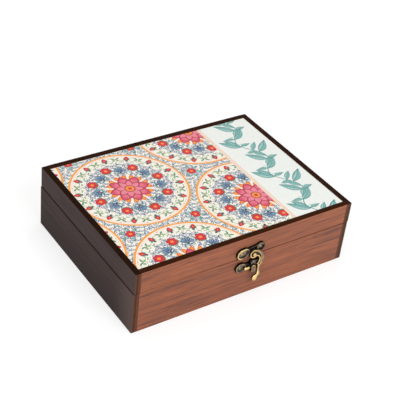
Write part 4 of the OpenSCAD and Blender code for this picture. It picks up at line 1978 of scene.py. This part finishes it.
@dataclass
class Lamp:
    """A soft square lamp."""

    name: str
    spot: Triple
    aim: Triple
    size: float
    power: float

    def build(self) -> None:
        """Hangs the lamp and turns it to what it lights."""
        light = bpy.data.lights.new(self.name, "AREA")
        light.shape = "SQUARE"
        light.size = self.size
        light.energy = self.power
        lamp = bpy.data.objects.new(self.name, light)
        lamp.location = self.spot
        lamp.rotation_euler = (Vector(self.aim) - Vector(self.spot)).to_track_quat("-Z", "Y").to_euler()
        bpy.context.scene.collection.objects.link(lamp)


@dataclass
class Studio:
    """The pale floor, the even surroundings and the lamps."""

    floor_size: float = 8.0
    floor_colour: Colour = (0.86, 0.86, 0.86)
    floor_glow: float = 1.3
    glow_reach: Point = (0.35, 1.1)
    ambient: float = 0.5
    lamps: tuple[Lamp, ...] = (
        Lamp("key", (0.05, -1.45, 1.25), (0.0, 0.0, 0.04), 0.9, 12.4),
        Lamp("fill", (-1.5, -0.45, 0.7), (0.0, 0.0, 0.03), 0.9, 5.0),
        Lamp("top", (0.1, 0.2, 1.9), (0.0, 0.0, 0.05), 1.6, 9.0),
    )

    def build(self) -> None:
        """Lays the floor, fills the surroundings and hangs the lamps."""
        self.floor()
        self.surroundings()
        for lamp in self.lamps:
            lamp.build()

    def seen(self, graph: Graph) -> NodeSocket:
        """Tells apart the rays that see the surroundings.

        Args:
            graph: the graph that asks.

        Returns:
            1 for rays from the camera, from gloss and through glass, and 0 for the rest.
        """
        path = graph.add("ShaderNodeLightPath")
        seen = graph.math("MAXIMUM", path.outputs["Is Camera Ray"], path.outputs["Is Glossy Ray"])
        return graph.math("MAXIMUM", seen, path.outputs["Is Transmission Ray"])

    def floor(self) -> None:
        """Lays a pale floor that shows white and keeps a soft shadow."""
        mesh = bpy.data.meshes.new("floor")
        half = self.floor_size / 2
        corners = [(x * half, y * half, 0.0) for x, y in ((-1, -1), (1, -1), (1, 1), (-1, 1))]
        mesh.from_pydata(corners, [], [(0, 1, 2, 3)])
        g = MaterialGraph("pale_floor")
        g.wire(Base_Color=self.floor_colour, Roughness=0.9, Specular_IOR_Level=0.0)
        glow = g.add("ShaderNodeEmission", {"Color": WHITE_LIGHT, "Strength": self.floor_glow})
        share = g.product(self.seen(g), g.smooth(g.vector("LENGTH", g.place()), *self.glow_reach, 0.5, 1.0))
        both = g.add("ShaderNodeMixShader", {0: share, 1: g.shader.outputs[0], 2: glow.outputs[0]})
        end = next(node for node in g.tree.nodes if node.type == "OUTPUT_MATERIAL")
        g.feed(end.inputs["Surface"], both.outputs[0])
        new_piece("floor", mesh, g.material)

    def surroundings(self) -> None:
        """Fills the world with an even pale light, white where it is seen."""
        world = bpy.data.worlds.new("studio")
        bpy.context.scene.world = world
        world.use_nodes = True
        g = Graph(world.node_tree)
        back = next(node for node in g.tree.nodes if node.type == "BACKGROUND")
        g.feed(back.inputs["Color"], WHITE_LIGHT)
        g.feed(back.inputs["Strength"], g.smooth(self.seen(g), 0.0, 1.0, self.ambient, 1.0))


@dataclass
class StudioCamera:
    """The camera, by its viewing direction, its roll and its place."""

    azimuth: float = -36.9551
    elevation: float = 35.5016
    roll: float = 6.65497
    spot: Triple = (-0.487412, -0.656673, 0.633541)
    lens: float = 93.27
    sensor: float = 36.0

    def build(self) -> None:
        """Places the camera and makes it the scene's."""
        azimuth, elevation, roll = map(math.radians, (self.azimuth, self.elevation, self.roll))
        level = math.cos(elevation)
        ahead = Vector((-math.sin(azimuth) * level, math.cos(azimuth) * level, -math.sin(elevation)))
        right = Vector((math.cos(azimuth), math.sin(azimuth), 0.0))
        above = right.cross(ahead)
        across = right * math.cos(roll) + above * math.sin(roll)
        upward = above * math.cos(roll) - right * math.sin(roll)
        data = bpy.data.cameras.new("camera")
        data.sensor_width = self.sensor
        data.lens = self.lens
        camera = bpy.data.objects.new("camera", data)
        turn = Matrix((across, upward, -ahead)).transposed().to_4x4()
        camera.matrix_world = Matrix.Translation(self.spot) @ turn
        bpy.context.scene.collection.objects.link(camera)
        bpy.context.scene.camera = camera


def corners(box: object) -> list[list[float]]:
    """Turns a box's two corners into plain lists."""
    return [[float(value) for value in corner] for corner in box]


def main() -> None:
    """Builds every part of the scene."""
    logging.basicConfig(level=logging.INFO, format="%(name)s: %(message)s")
    bpy.context.scene.view_settings.view_transform = "Standard"
    StudioCamera().build()
    Studio().build()
    effects = Effects()
    woodwork = Woodwork(effects)
    BaseBox(woodwork).build()
    LidFrame(woodwork).build()
    PrintedSheet().build()
    metalwork = Metalwork(effects)
    Latch(metalwork).build()
    Hinges(metalwork).build()


if __name__ == "__main__":
    main()
